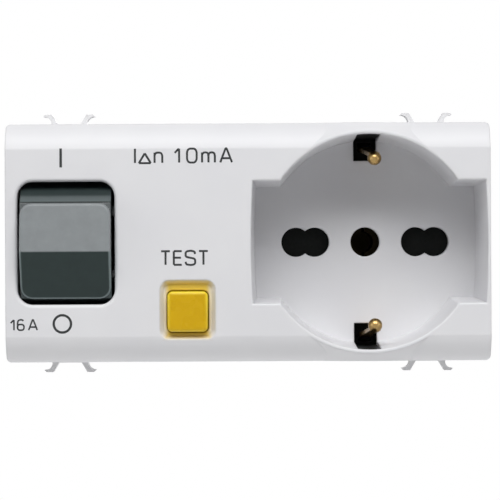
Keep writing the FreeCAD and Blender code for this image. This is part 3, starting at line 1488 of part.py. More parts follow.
def make_snap_blade(arm_x, lean, side, foot, pad_top, tip_top):
    """One splayed blade of a snap arm: an upright foot, a leg that sweeps outwards and a flat sole."""
    name = f"snap_{'upper' if side > 0 else 'lower'}_{'left' if lean < 0 else 'right'}"
    body = new_body(name)
    outline = sketch_on(body, f"{name}_profile", "XZ_Plane", -size.frame_gap)
    foot_x = arm_x + size.snap_foot_offset * lean
    half_foot = size.snap_foot_width / 2
    inner_x = foot_x - half_foot * lean
    outer_x = foot_x + half_foot * lean
    toe_x = arm_x + size.snap_tip_offset * lean
    toe_low = tip_top - size.snap_toe_height
    across = (toe_x - outer_x) * lean
    rise = toe_low - pad_top
    chord = root(across * across + rise * rise)
    bulge = size.snap_bulge
    curve = (chord * chord / 4 + bulge * bulge) / (2 * bulge)
    middle_x = (outer_x + toe_x) / 2 - bulge * rise / chord * lean
    middle_z = (pad_top + toe_low) / 2 + bulge * across / chord
    points = [
        (inner_x, foot * side), (outer_x, foot * side),
        (outer_x, pad_top * side), (toe_x, toe_low * side),
        (toe_x - size.snap_toe_height * lean, tip_top * side),
        (toe_x - size.snap_sole_length * lean, tip_top * side), (inner_x, pad_top * side),
    ]
    draw_outline(outline, points, {2: ((middle_x, middle_z * side), curve)})
    pad(body, f"{name}_blade", outline, size.snap_depth, reverse=True)
    return body


def make_case_screws():
    """Four long screws from the rear of the housing into the bosses of the cover."""
    screws = []
    head_back = housing_depth - size.running_gap
    shank_ends = (-size.case_screw_bite + size.running_gap, head_back)
    for x in (case_screw_left, case_screw_right):
        for z in (-case_screw_z, case_screw_z):
            shank = rod("case_shank", "y", (x, z), shank_ends, size.case_screw_radius)
            head_front = housing_depth - size.case_screw_head_height
            head = rod("case_head", "y", (x, z), (head_front, head_back), size.case_screw_head)
            half = size.case_slot_half
            slot = box("case_slot", (x - size.case_screw_head, x + size.case_screw_head),
                       (head_back - size.case_screw_head_height / 2, head_back), (z - half, z + half))
            screws.append(cut("case_screw", fuse("case_screw_solid", [shank, head]), [slot]))
    return keep(group("case_screws", screws), "case_screws")


make_front_cover()
make_socket_floor()
make_contact_block()
make_outlet_contacts()
make_earth_bracket()
make_earth_clip("upper", 1)
make_earth_clip("lower", -1)
make_shutter()
make_shutter_spring()
make_interlock()
make_rocker()
make_mechanism_frame()
make_drive_link()
tip_face = make_carrier()
make_fixed_contacts(tip_face)
make_arc_chute()
make_trip_unit()
make_test_button()
make_test_circuit()
make_residual_unit()
supply_poles = make_terminals()
make_rear_housing(supply_poles)
make_case_screws()

doc.recompute()
failed = [item.Name for item in doc.Objects if any(word in item.State for word in ("Invalid", "Error"))]
if failed:
    for name in failed:
        print(name, doc.getObject(name).getStatusString())
    raise SystemExit(f"failed objects: {failed}")
for piece in made:
    if piece.Shape.isNull() or not piece.Shape.isValid():
        raise SystemExit(f"bad shape: {piece.Label}")
for piece in made:
    piece.Shape.exportStep(f"parts/{piece.Label}.step")
    print(piece.Label, round(piece.Shape.Volume, 1), len(piece.Shape.Solids))
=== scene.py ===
import json
import math

import bmesh
import bpy
from mathutils import Euler, Matrix, Vector


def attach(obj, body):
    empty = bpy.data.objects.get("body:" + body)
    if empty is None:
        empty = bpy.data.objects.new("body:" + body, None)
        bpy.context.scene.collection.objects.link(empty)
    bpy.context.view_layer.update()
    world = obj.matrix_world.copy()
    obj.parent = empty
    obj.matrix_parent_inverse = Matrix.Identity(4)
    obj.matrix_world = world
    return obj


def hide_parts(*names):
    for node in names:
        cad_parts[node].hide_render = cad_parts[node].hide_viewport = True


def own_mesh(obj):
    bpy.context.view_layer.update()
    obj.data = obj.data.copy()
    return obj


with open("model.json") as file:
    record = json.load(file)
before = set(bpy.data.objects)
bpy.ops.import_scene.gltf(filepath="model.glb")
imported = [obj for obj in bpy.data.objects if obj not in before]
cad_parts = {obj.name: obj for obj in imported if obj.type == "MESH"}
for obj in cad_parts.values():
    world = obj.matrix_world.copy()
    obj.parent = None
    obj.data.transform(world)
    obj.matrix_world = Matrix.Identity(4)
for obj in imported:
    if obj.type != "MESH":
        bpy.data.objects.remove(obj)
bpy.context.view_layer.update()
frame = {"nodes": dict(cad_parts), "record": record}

# Interlocked socket: looks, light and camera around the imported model.
# Blender's lengths are metres, in the part's own frame: +X right, +Y back into the wall, +Z up.
# The named places and sizes of the part and its marks are millimetres and degrees.

MM = 0.001

# Places and sizes taken over from the part
FRONT_Y = -9.5
REAR_Y = 38.0
ROCKER_X = -33.0
ROCKER_Y = -2.0
ROCKER_REST = 8.0
CAP_HALF = 8.2
CAP_LOWER = 9.0
CAP_CORNER = 2.2
DRUM_FRONT = -7.85
BUTTON_X = -11.0
BUTTON_Z = -12.5
COIL_CENTRE = (-33.0, 18.1, 12.5)
TOROID_CENTRE = (-11.0, 30.15, 10.0)
SPRING_X = 14.45
SPRING_Y = 11.5
SPRING_FOOT = -19.3
SPRING_TOP = -7.0
SPRING_RADIUS = 0.72
SPRING_WIRE = 0.15
SPRING_TURNS = 12


# Helpers
def linear(code):
    """An sRGB hex colour as the linear colour that a shader takes."""
    shares = [int(code[n:n + 2], 16) / 255 for n in (1, 3, 5)]
    return [s / 12.92 if s <= 0.04045 else ((s + 0.055) / 1.055) ** 2.4 for s in shares] + [1.0]


def per_mm(width):
    """The scale of a pattern on Object coordinates whose grains are this many millimetres wide."""
    return 1.0 / (width * MM)


def new_object(name, data):
    """An object for a mesh, a curve, a lamp or a camera, in the scene."""
    thing = bpy.data.objects.new(name, data)
    bpy.context.scene.collection.objects.link(thing)
    return thing


def add(tree, kind, settings=(), values=(), links=(), stops=()):
    """Adds one node with its settings, its plain values, its links and, on a colour ramp, its stops
    of (place, sRGB hex). A link names a socket, or a node whose first live output it takes."""
    node = tree.nodes.new(kind)
    for name, value in dict(settings).items():
        setattr(node, name, value)
    for name, value in dict(values).items():
        node.inputs[name].default_value = value
    for name, source in dict(links).items():
        if isinstance(source, bpy.types.Node):
            source = next(socket for socket in source.outputs if socket.enabled)
        tree.links.new(source, node.inputs[name])
    while stops and len(node.color_ramp.elements) < len(stops):
        node.color_ramp.elements.new(0.5)
    if stops:
        for element, (position, code) in zip(node.color_ramp.elements, stops):
            element.position = position
            element.color = linear(code)
    return node


def new_material(name):
    """A material with an empty tree, the tree and its Object coordinates."""
    material = bpy.data.materials.new(name)
    material.use_nodes = True
    tree = material.node_tree
    tree.nodes.clear()
    return material, tree, add(tree, "ShaderNodeTexCoord").outputs["Object"]


def close(tree, color, roughness, relief, depth, rounding=0.0, extra=()):
    """Ends a tree in the surface shader. The roughness is one value, or a pattern and the values at
    its low and high end. The relief's depth is in millimetres, and so is the radius by which edges
    catch light as if they were rounded."""
    values = dict(extra)
    links = {"Base Color": color}
    if isinstance(roughness, float):
        values["Roughness"] = roughness
    else:
        pattern, low, high = roughness
        links["Roughness"] = add(tree, "ShaderNodeMapRange", values={"To Min": low, "To Max": high}, links={
            "Value": pattern})
    shape = {"Height": relief}
    if rounding > 0.0:
        shape["Normal"] = add(tree, "ShaderNodeBevel", {"samples": 8}, {"Radius": rounding * MM})
    links["Normal"] = add(tree, "ShaderNodeBump", values={
        "Strength": 1.0, "Distance": depth * MM}, links=shape)
    shader = add(tree, "ShaderNodeBsdfPrincipled", values=values, links=links)
    add(tree, "ShaderNodeOutputMaterial", links={"Surface": shader})


def patterned(name, width, stops, roughness, depth, detail=3.0, fineness=0.6, stretch=None, extra=()):
    """A finish with one pattern, its grains width millimetres wide, that gives its colours, its relief
    and, where roughness is a pair of values, its sheen."""
    material, tree, place = new_material(name)
    if stretch:
        place = add(tree, "ShaderNodeMapping", values={"Scale": stretch}, links={"Vector": place})
    grain = add(tree, "ShaderNodeTexNoise", values={
        "Scale": per_mm(width), "Detail": detail, "Roughness": fineness}, links={"Vector": place})
    color = add(tree, "ShaderNodeValToRGB", stops=stops, links={"Fac": grain})
    if isinstance(roughness, tuple):
        roughness = (grain, *roughness)
    close(tree, color, roughness, grain, depth, extra=extra)
    return material


def rolled_metal(name, tones, roughness, stretch, width=0.25, cloud_width=4.0):
    """Rolled or drawn metal: fine lines along the rolling direction and faint cloudy tarnish."""
    line_share = 0.45
    line_depth = 0.003
    material, tree, place = new_material(name)
    along = add(tree, "ShaderNodeMapping", values={"Scale": stretch}, links={"Vector": place})
    lines = add(tree, "ShaderNodeTexNoise", values={
        "Scale": per_mm(width), "Detail": 3.0, "Roughness": 0.6}, links={"Vector": along})
    cloud = add(tree, "ShaderNodeTexNoise", values={
        "Scale": per_mm(cloud_width), "Detail": 3.0, "Roughness": 0.6}, links={"Vector": place})
    mixed = add(tree, "ShaderNodeMix", {"data_type": "FLOAT"}, {"Factor": line_share}, {
        "A": cloud, "B": lines})
    color = add(tree, "ShaderNodeValToRGB", stops=list(zip((0.3, 0.5, 0.72), tones)), links={"Fac": mixed})
    close(tree, color, (cloud, *roughness), lines, line_depth, extra={"Metallic": 1.0})
    return material


# Materials
def satin_polycarbonate():
    """Injection-moulded polycarbonate: an even cool white with a soft satin sheen and a very fine
    spark-eroded grain. The real grain, 0.05 mm, is drawn 0.18 mm wide so that it shows. The recess
    round the test button carries painted bounce light, the button's yellow thrown onto it, most of
    all above and below it. The painted yellow fills a field round the button, fades beyond it, and
    lies only where the surface is sunk."""
    # The field of painted bounce light: its half width and height, its fade and its lift over the button in
    # millimetres, and its strongest mix of yellow
    bounce_half = {"X": 3.2, "Z": 4.3}
    bounce_fade = 1.5
    bounce_lift = 0.35
    bounce_most = 0.92
    full_depth = 0.25
    material, tree, place = new_material("satin_polycarbonate")
    flow = add(tree, "ShaderNodeTexNoise", values={"Scale": per_mm(14.0)}, links={"Vector": place})
    white = add(tree, "ShaderNodeValToRGB", stops=[(0.3, "#DADADD"), (0.7, "#DEDEE0")], links={
        "Fac": flow})
    centred = add(tree, "ShaderNodeMapping", values={
        "Location": (-BUTTON_X * MM, -FRONT_Y * MM, -(BUTTON_Z + bounce_lift) * MM)}, links={"Vector": place})
    parts = add(tree, "ShaderNodeSeparateXYZ", links={"Vector": centred}).outputs
    outside = []
    for axis, half in bounce_half.items():
        reach = add(tree, "ShaderNodeMath", {"operation": "ABSOLUTE"}, links={0: parts[axis]})
        outside.append(add(tree, "ShaderNodeMath", {"operation": "SUBTRACT"}, {1: half * MM}, {0: reach}))
    away = add(tree, "ShaderNodeMath", {"operation": "MAXIMUM"}, links={0: outside[0], 1: outside[1]})
    # Painted bounce light: the button's yellow, strongest in its field round the button and fading beyond it
    painted_bounce = add(tree, "ShaderNodeMapRange", {"interpolation_type": "SMOOTHSTEP"}, {
        "From Min": bounce_fade * MM, "From Max": 0.0, "To Max": bounce_most}, {"Value": away})
    sunk = add(tree, "ShaderNodeMapRange", values={"From Min": 0.0, "From Max": full_depth * MM}, links={
        "Value": parts["Y"]})
    painted_light_share = add(tree, "ShaderNodeMath", {"operation": "MULTIPLY"}, links={0: painted_bounce, 1: sunk})
    color = add(tree, "ShaderNodeMix", {"data_type": "RGBA"}, {"B": linear("#E0C02C")}, {
        "Factor": painted_light_share, "A": white})
    grain = add(tree, "ShaderNodeTexNoise", values={"Scale": per_mm(0.18), "Detail": 1.0}, links={
        "Vector": place})
    close(tree, color, (flow, 0.42, 0.48), grain, 0.0022, rounding=0.45,
          extra={"IOR": 1.58, "Specular IOR Level": 0.3})
    return material


def grained_housing():
    """Moulded polyamide for the housing: off-white, matt, with a coarser moulding grain of 0.3 mm."""
    material, tree, place = new_material("grained_polyamide")
    flow = add(tree, "ShaderNodeTexNoise", values={
        "Scale": per_mm(9.0), "Detail": 3.0, "Roughness": 0.55}, links={"Vector": place})
    color = add(tree, "ShaderNodeValToRGB", stops=[(0.3, "#DADADC"), (0.7, "#E0E0E1")], links={"Fac": flow})
    grain = add(tree, "ShaderNodeTexNoise", values={"Scale": per_mm(0.3), "Roughness": 0.6}, links={
        "Vector": place})
    close(tree, color, (grain, 0.5, 0.62), grain, 0.008, extra={"IOR": 1.53})
    return material


def two_tone_rocker():
    """Two-shot moulded polyamide for the lever: a mid grey face above the ridge and a green-black face
    below it. The drum's tones are painted light: a fine painted shadow line just behind the cap, a
    painted highlight band where it faces the light overhead, then painted shade deeper in the window.
    A pale painted highlight runs round the lower face's rim. Heights and depths run from the pivot,
    turned with the lever at rest."""
    seam_half = 0.12
    step_half = 0.05
    drum_light_span = 4.0
    rim_highlight_inner = 0.42
    rim_highlight_outer = 0.2
    material, tree, place = new_material("two_shot_polyamide")
    centred = add(tree, "ShaderNodeMapping", values={
        "Location": (-ROCKER_X * MM, -ROCKER_Y * MM, 0.0)}, links={"Vector": place})
    level = add(tree, "ShaderNodeMapping", values={
        "Rotation": (math.radians(-ROCKER_REST), 0.0, 0.0)}, links={"Vector": centred})
    parts = add(tree, "ShaderNodeSeparateXYZ", links={"Vector": level}).outputs
    cloud = add(tree, "ShaderNodeTexNoise", values={
        "Scale": per_mm(2.5), "Detail": 3.0, "Roughness": 0.6}, links={"Vector": place})
    face = add(tree, "ShaderNodeValToRGB", stops=[(0.3, "#7E8284"), (0.7, "#858A8C")], links={"Fac": cloud})
    dark = add(tree, "ShaderNodeValToRGB", stops=[(0.3, "#1A2928"), (0.7, "#1D2D2C")], links={"Fac": cloud})
    # Painted light on the drum: a dark painted shadow line just behind the cap, a painted highlight band,
    # then painted shade deeper in the window
    depth = add(tree, "ShaderNodeMapRange", values={
        "From Min": DRUM_FRONT * MM, "From Max": (DRUM_FRONT + drum_light_span) * MM}, links={"Value": parts["Y"]})
    drum = add(tree, "ShaderNodeValToRGB", stops=[
        (0.0, "#141A1A"), (0.05, "#1B2222"), (0.09, "#515A5B"), (0.3, "#4A5253"), (0.42, "#2B3434")], links={
        "Fac": depth})
    above = add(tree, "ShaderNodeMapRange", values={
        "From Min": -seam_half * MM, "From Max": seam_half * MM}, links={"Value": parts["Z"]})
    beyond = add(tree, "ShaderNodeMapRange", values={
        "From Min": (DRUM_FRONT - step_half) * MM, "From Max": (DRUM_FRONT + step_half) * MM}, links={
        "Value": parts["Y"]})
    across = add(tree, "ShaderNodeMath", {"operation": "ABSOLUTE"}, links={0: parts["X"]})
    below = add(tree, "ShaderNodeMath", {"operation": "MULTIPLY"}, {1: -1.0}, {0: parts["Z"]})
    past_straight = []
    for reach, half in ((across, CAP_HALF - CAP_CORNER), (below, CAP_LOWER - CAP_CORNER)):
        over = add(tree, "ShaderNodeMath", {"operation": "SUBTRACT"}, {1: half * MM}, {0: reach})
        past_straight.append(add(tree, "ShaderNodeMath", {"operation": "MAXIMUM"}, {1: 0.0}, {0: over}))
    corner = add(tree, "ShaderNodeCombineXYZ", links={"X": past_straight[0], "Z": past_straight[1]})
    outward = add(tree, "ShaderNodeVectorMath", {"operation": "LENGTH"}, links={0: corner})
    # The pale line round the lower face's rim is a painted highlight
    rim_highlight = add(tree, "ShaderNodeMapRange", values={
        "From Min": (CAP_CORNER - rim_highlight_inner) * MM, "From Max": (CAP_CORNER - rim_highlight_outer) * MM}, links={
        "Value": outward})
    dark_with_rim_highlight = add(tree, "ShaderNodeMix", {"data_type": "RGBA"}, {"B": linear("#6E7B7C")}, {
        "Factor": rim_highlight, "A": dark})
    cap = add(tree, "ShaderNodeMix", {"data_type": "RGBA"}, links={"Factor": above, "A": dark_with_rim_highlight, "B": face})
    color = add(tree, "ShaderNodeMix", {"data_type": "RGBA"}, links={"Factor": beyond, "A": cap, "B": drum})
    grain = add(tree, "ShaderNodeTexNoise", values={"Scale": per_mm(0.15), "Detail": 1.0}, links={
        "Vector": place})
    close(tree, color, 0.34, grain, 0.002, rounding=0.35, extra={"IOR": 1.53, "Specular IOR Level": 0.3})
    return material


def yellow_acetal():
    """Moulded acetal for the test button: warm yellow with a smooth, slightly waxy face. A painted
    highlight gives its edges a clearer yellow than the middle, strongest at the top, where the light falls."""
    body_half = 2.9
    highlight_half = 3.7
    highlight_low = -1.0
    highlight_high = 3.2
    material, tree, place = new_material("yellow_acetal")
    flow = add(tree, "ShaderNodeTexNoise", values={"Scale": per_mm(3.0)}, links={"Vector": place})
    body_yellow = add(tree, "ShaderNodeValToRGB", stops=[(0.3, "#C89E02"), (0.7, "#CFA608")], links={"Fac": flow})
    centred = add(tree, "ShaderNodeMapping", values={
        "Location": (-BUTTON_X * MM, 0.0, -BUTTON_Z * MM)}, links={"Vector": place})
    parts = add(tree, "ShaderNodeSeparateXYZ", links={"Vector": centred}).outputs
    across = add(tree, "ShaderNodeMath", {"operation": "ABSOLUTE"}, links={0: parts["X"]})
    along = add(tree, "ShaderNodeMath", {"operation": "ABSOLUTE"}, links={0: parts["Z"]})
    outward = add(tree, "ShaderNodeMath", {"operation": "MAXIMUM"}, links={0: across, 1: along})
    # The clearer yellow round the edges is a painted highlight, growing towards the top
    edge_highlight = add(tree, "ShaderNodeMapRange", {"interpolation_type": "SMOOTHSTEP"}, {
        "From Min": body_half * MM, "From Max": highlight_half * MM}, {"Value": outward})
    lit_from_above = add(tree, "ShaderNodeMapRange", values={
        "From Min": highlight_low * MM, "From Max": highlight_high * MM, "To Min": 0.4, "To Max": 1.0}, links={
        "Value": parts["Z"]})
    painted_light_share = add(tree, "ShaderNodeMath", {"operation": "MULTIPLY"}, links={0: edge_highlight, 1: lit_from_above})
    color = add(tree, "ShaderNodeMix", {"data_type": "RGBA"}, {"B": linear("#F6DB30")}, {
        "Factor": painted_light_share, "A": body_yellow})
    grain = add(tree, "ShaderNodeTexNoise", values={"Scale": per_mm(0.12), "Detail": 1.0}, links={
        "Vector": place})
    close(tree, color, (flow, 0.24, 0.3), grain, 0.0015, rounding=1.0,
          extra={"IOR": 1.48, "Specular IOR Level": 0.3})
    return material


def glass_epoxy():
    """Glass-epoxy board: green solder mask, raised and paler where it lies over a net of copper
    tracks. The low fields between the tracks are about 3.4 mm apart."""
    material, tree, place = new_material("glass_epoxy_board")
    tracks = add(tree, "ShaderNodeTexVoronoi", {"distance": "MANHATTAN", "feature": "F1"}, {
        "Scale": per_mm(3.4), "Randomness": 0.85}, {"Vector": place})
    raised = add(tree, "ShaderNodeMapRange", values={"From Min": 0.42, "From Max": 0.46}, links={
        "Value": tracks})
    color = add(tree, "ShaderNodeValToRGB", stops=[(0.0, "#123E22"), (1.0, "#1F5E35")], links={"Fac": raised})
    close(tree, color, 0.3, raised, 0.03, extra={"IOR": 1.5, "Coat Weight": 0.4})
    return material


def black_thermoset():
    """Moulded phenolic insulator: near black with a green cast, matt, slightly mottled by its filler."""
    return patterned("black_thermoset", 0.6, [(0.3, "#0B0D0C"), (0.75, "#141615")], (0.42, 0.58), 0.01,
                     detail=4.0, extra={"IOR": 1.55, "Specular IOR Level": 0.06})


def stamped_brass():
    """Stamped and tumbled brass: soft yellow metal, dulled a little, with faint rolling lines."""
    return rolled_metal("stamped_brass", ("#8A6E44", "#A08454", "#BBA171"), (0.22, 0.34), (1.0, 0.12, 1.0))


def brass_in_painted_shade():
    """The centre earth contact's brass in painted shade: a dark copy of the brass that stands for the shade
    deep in its bore.
    """
    return rolled_metal("brass_painted_shade", ("#1E1A12", "#282217", "#332B1D"), (0.45, 0.6), (1.0, 0.12, 1.0))


def phosphor_bronze():
    """Rolled phosphor bronze strip for the live contacts: a redder gold with fine rolling lines."""
    return rolled_metal("phosphor_bronze", ("#A9764A", "#BE8A5B", "#D0A274"), (0.26, 0.38), (1.0, 0.12, 1.0))


def zinc_plate():
    """Bright zinc plate on steel: pale blue-grey metal with cloudy patches and faint rolling lines."""
    return rolled_metal("zinc_plate", ("#A6A9AD", "#B7BABD", "#C9CBCD"), (0.25, 0.42), (1.0, 0.2, 1.0),
                        cloud_width=2.5)


def spring_wire():
    """Drawn spring steel: darker grey metal with fine upright lines."""
    return rolled_metal("drawn_spring_steel", ("#7F8184", "#8F9194", "#A1A3A6"), (0.28, 0.38),
                        (1.0, 1.0, 0.15), width=0.15)


def silver_rivet():
    """Silver alloy contact buttons: bright, soft metal with a faint matt skin."""
    return rolled_metal("silver_alloy", ("#BDBBB5", "#CCCAC5", "#D9D8D4"), (0.22, 0.4), (1.0, 1.0, 1.0),
                        width=0.3)


def rolled_bimetal():
    """Bimetal strip: two bonded metals rolled into one, a dull warm grey with fine upright lines."""
    return rolled_metal("rolled_bimetal", ("#94806C", "#A79580", "#B9AB99"), (0.3, 0.42), (1.0, 1.0, 0.12))


def enamelled_copper():
    """Enamelled copper wire: deep red-brown metal under a thin clear varnish that rounds each glint."""
    return patterned("enamelled_copper", 1.2, [(0.3, "#8E4526"), (0.7, "#A95A34")], 0.32, 0.004,
                     extra={"Metallic": 1.0, "Coat Weight": 0.6, "Coat Roughness": 0.08})


def vulcanised_fibre():
    """Vulcanised fibre cheeks: dull red-brown board with short felted fibres, 0.2 mm wide."""
    return patterned("vulcanised_fibre", 0.2, [(0.3, "#7C5238"), (0.7, "#946548")], 0.7, 0.02,
                     fineness=0.65, stretch=(1.0, 0.35, 0.7), extra={"IOR": 1.5})


def moulded_component():
    """Epoxy-moulded electronic parts: dark body with a fine dusty grain."""
    return patterned("moulded_component", 0.3, [(0.3, "#1D2024"), (0.7, "#2B2F34")], (0.38, 0.52), 0.006,
                     extra={"IOR": 1.54})


def varnished_ferrite():
    """Sintered ferrite under green-grey varnish: dark, slightly pitted, with a wet-looking coat."""
    return patterned("varnished_ferrite", 0.5, [(0.3, "#23282A"), (0.7, "#343B3D")], 0.5, 0.02,
                     detail=4.0, fineness=0.7, extra={"IOR": 1.6, "Coat Weight": 0.5, "Coat Roughness": 0.2})


def blue_insulation():
    """Extruded vinyl insulation on solid wire: even blue, semi-gloss, with faint lines of extrusion."""
    return patterned("extruded_vinyl", 0.25, [(0.3, "#1E3E86"), (0.7, "#274A96")], 0.36, 0.006,
                     detail=2.0, fineness=0.5, stretch=(0.08, 1.0, 1.0), extra={"IOR": 1.53})


def pad_printing():
    """Pad-printed ink: dark grey and matt, a thin film of slightly uneven tone."""
    return patterned("pad_printed_ink", 0.35, [(0.3, "#2B2D2E"), (0.75, "#343637")], 0.6, 0.002,
                     extra={"IOR": 1.5, "Specular IOR Level": 0.3})


# The finish of each material slot that the record names
FINISHES = {
    "white_plastic": satin_polycarbonate(),
    "housing_plastic": grained_housing(),
    "black_insulator": black_thermoset(),
    "grey_rocker": two_tone_rocker(),
    "yellow_plastic": yellow_acetal(),
    "brass": stamped_brass(),
    "copper_alloy": phosphor_bronze(),
    "silver_alloy": silver_rivet(),
    "zinc_steel": zinc_plate(),
    "spring_steel": spring_wire(),
    "bimetal": rolled_bimetal(),
    "copper_winding": enamelled_copper(),
    "fibre": vulcanised_fibre(),
    "board": glass_epoxy(),
    "component_body": moulded_component(),
    "ferrite": varnished_ferrite(),
    "insulated_copper": blue_insulation(),
}
INK_FINISH = pad_printing()

for row in frame["record"]["subparts"]:
    for holder in frame["nodes"][row["node"]].material_slots:
        holder.material = FINISHES[row["material_slot"]]
# The centre earth contact takes the brass in painted shade, a dark copy that stands for the shade in its bore
for holder in frame["nodes"]["earth_pin_contact"].material_slots:
    holder.material = brass_in_painted_shade()


# Windings
def new_winding(name, sizes):
    """A Geometry Nodes tree whose inputs are the named sizes, and the sockets that give them."""
    tree = bpy.data.node_groups.new(name, "GeometryNodeTree")
    for label, value in sizes.items():
        kind = "NodeSocketInt" if isinstance(value, int) else "NodeSocketFloat"
        tree.interface.new_socket(label, in_out="INPUT", socket_type=kind)
    tree.interface.new_socket("Wound", in_out="OUTPUT", socket_type="NodeSocketGeometry")
    return tree, add(tree, "NodeGroupInput").outputs


def swept(tree, along, section, finish):
    """A section carried along a line, in one finish."""
    body = add(tree, "GeometryNodeCurveToMesh", values={"Fill Caps": True}, links={
        "Curve": along, "Profile Curve": section})
    return add(tree, "GeometryNodeSetMaterial", values={"Material": finish}, links={"Geometry": body})


def finish_winding(tree, parts, turn, centre):
    """Ends a tree: joins its parts, each in its own finish, turns their axis from Z, moves them to
    their centre in millimetres and makes every instance real."""
    joined = add(tree, "GeometryNodeJoinGeometry")
    for part in parts:
        tree.links.new(part.outputs[0], joined.inputs[0])
    moved = add(tree, "GeometryNodeTransform", values={
        "Rotation": Euler(turn), "Translation": [length * MM for length in centre]}, links={
        "Geometry": joined})
    real = add(tree, "GeometryNodeRealizeInstances", links={"Geometry": moved})
    add(tree, "NodeGroupOutput", links={"Wound": real})


def wound_piece(name, tree, sizes, node):
    """The tree's result as a plain mesh that stands for a CAD node. Lengths are in millimetres."""
    blank = new_object(name, bpy.data.meshes.new(f"{name}_blank"))
    modifier = blank.modifiers.new("winding", "NODES")
    modifier.node_group = tree
    for socket in tree.interface.items_tree:
        if socket.in_out == "INPUT":
            value = sizes[socket.name]
            modifier[socket.identifier] = value if isinstance(value, int) else value * MM
    bpy.context.view_layer.update()
    mesh = bpy.data.meshes.new_from_object(blank.evaluated_get(bpy.context.evaluated_depsgraph_get()))
    bpy.data.objects.remove(blank)
    shape = bmesh.new()
    shape.from_mesh(mesh)
    bmesh.ops.remove_doubles(shape, verts=shape.verts, dist=1e-7)
    bmesh.ops.recalc_face_normals(shape, faces=shape.faces)
    for face in shape.faces:
        face.smooth = len(face.verts) == 4
    shape.to_mesh(mesh)
    shape.free()
    mesh.name = name
    piece = new_object(name, mesh)
    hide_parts(node)
    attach(piece, "root")
    return piece


def wind_magnetic_coil():
    """The coil that trips the lever: one visible layer of wire, turn beside turn, on a moulded former."""
    sizes = {"Turns": 21, "Wire radius": 0.25, "Layer radius": 4.34, "Layer length": 10.45,
             "Former radius": 2.9, "Former wall": 2.38, "Former length": 11.0}
    tree, given = new_winding("magnetic_coil_winding", sizes)
    spiral = add(tree, "GeometryNodeCurveSpiral", values={"Resolution": 28}, links={
        "Rotations": given["Turns"], "Start Radius": given["Layer radius"],
        "End Radius": given["Layer radius"], "Height": given["Layer length"]})
    wire = add(tree, "GeometryNodeCurvePrimitiveCircle", values={"Resolution": 8}, links={
        "Radius": given["Wire radius"]})
    round_former = add(tree, "GeometryNodeCurvePrimitiveCircle", values={"Resolution": 48}, links={
        "Radius": given["Former radius"]})
    wall = add(tree, "GeometryNodeCurvePrimitiveQuadrilateral", links={
        "Width": given["Former wall"], "Height": given["Former length"]})
    half_layer = add(tree, "ShaderNodeMath", {"operation": "MULTIPLY"}, {1: -0.5}, {0: given["Layer length"]})
    lowered = add(tree, "ShaderNodeCombineXYZ", links={"Z": half_layer})
    turns = add(tree, "GeometryNodeTransform", links={
        "Geometry": swept(tree, spiral, wire, FINISHES["copper_winding"]), "Translation": lowered})
    former = swept(tree, round_former, wall, FINISHES["black_insulator"])
    finish_winding(tree, [turns, former], (math.radians(-90.0), 0.0, 0.0), COIL_CENTRE)
    wound_piece("magnetic_coil_wound", tree, sizes, "magnetic_coil")


def wind_sensing_toroid():
    """The sensing toroid: a varnished ferrite ring under evenly spaced loops of fine copper wire."""
    sizes = {"Loops": 40, "Wire radius": 0.14, "Ring radius": 4.55, "Loop width": 2.4, "Loop length": 5.7,
             "Core width": 2.1, "Core length": 5.4}
    tree, given = new_winding("sensing_toroid_winding", sizes)
    circle = add(tree, "GeometryNodeCurvePrimitiveCircle", values={"Resolution": 64}, links={
        "Radius": given["Ring radius"]})
    section = add(tree, "GeometryNodeCurvePrimitiveQuadrilateral", links={
        "Width": given["Core width"], "Height": given["Core length"]})
    core = swept(tree, circle, section, FINISHES["ferrite"])
    wire = add(tree, "GeometryNodeCurvePrimitiveCircle", values={"Resolution": 6}, links={
        "Radius": given["Wire radius"]})
    outline = add(tree, "GeometryNodeCurvePrimitiveQuadrilateral", links={
        "Width": given["Loop width"], "Height": given["Loop length"]})
    loop = swept(tree, outline, wire, FINISHES["copper_winding"])
    spots = add(tree, "GeometryNodeCurveToPoints", links={"Curve": circle, "Count": given["Loops"]}).outputs
    loops = add(tree, "GeometryNodeInstanceOnPoints", links={
        "Points": spots["Points"], "Instance": loop, "Rotation": spots["Rotation"]})
    finish_winding(tree, [core, loops], (0.0, math.radians(90.0), 0.0), TOROID_CENTRE)
    wound_piece("sensing_toroid_wound", tree, sizes, "sensing_toroid")


def wind_shutter_spring():
    """The spring under the shutter, which closes up as the shutter sinks onto it: drawn steel wire, wound
    here at one fixed length.
    """
    sizes = {"Turns": SPRING_TURNS, "Wire radius": SPRING_WIRE, "Spring radius": SPRING_RADIUS,
             "Spring length": SPRING_TOP - SPRING_FOOT - 2 * SPRING_WIRE}
    tree, given = new_winding("shutter_spring_winding", sizes)
    spiral = add(tree, "GeometryNodeCurveSpiral", values={"Resolution": 24}, links={
        "Rotations": given["Turns"], "Start Radius": given["Spring radius"],
        "End Radius": given["Spring radius"], "Height": given["Spring length"]})
    wire = add(tree, "GeometryNodeCurvePrimitiveCircle", values={"Resolution": 10}, links={
        "Radius": given["Wire radius"]})
    turns = swept(tree, spiral, wire, FINISHES["spring_steel"])
    finish_winding(tree, [turns], (0.0, 0.0, 0.0), (SPRING_X, SPRING_Y, SPRING_FOOT + SPRING_WIRE))
    spring = wound_piece("shutter_spring_wound", tree, sizes, "shutter_spring")
    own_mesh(spring)


wind_magnetic_coil()
wind_sensing_toroid()
wind_shutter_spring()


# Printed marks
INK_HEIGHT = 0.012
LINE, CURVE, LOOP = "straight", "smooth", "smooth and closed"

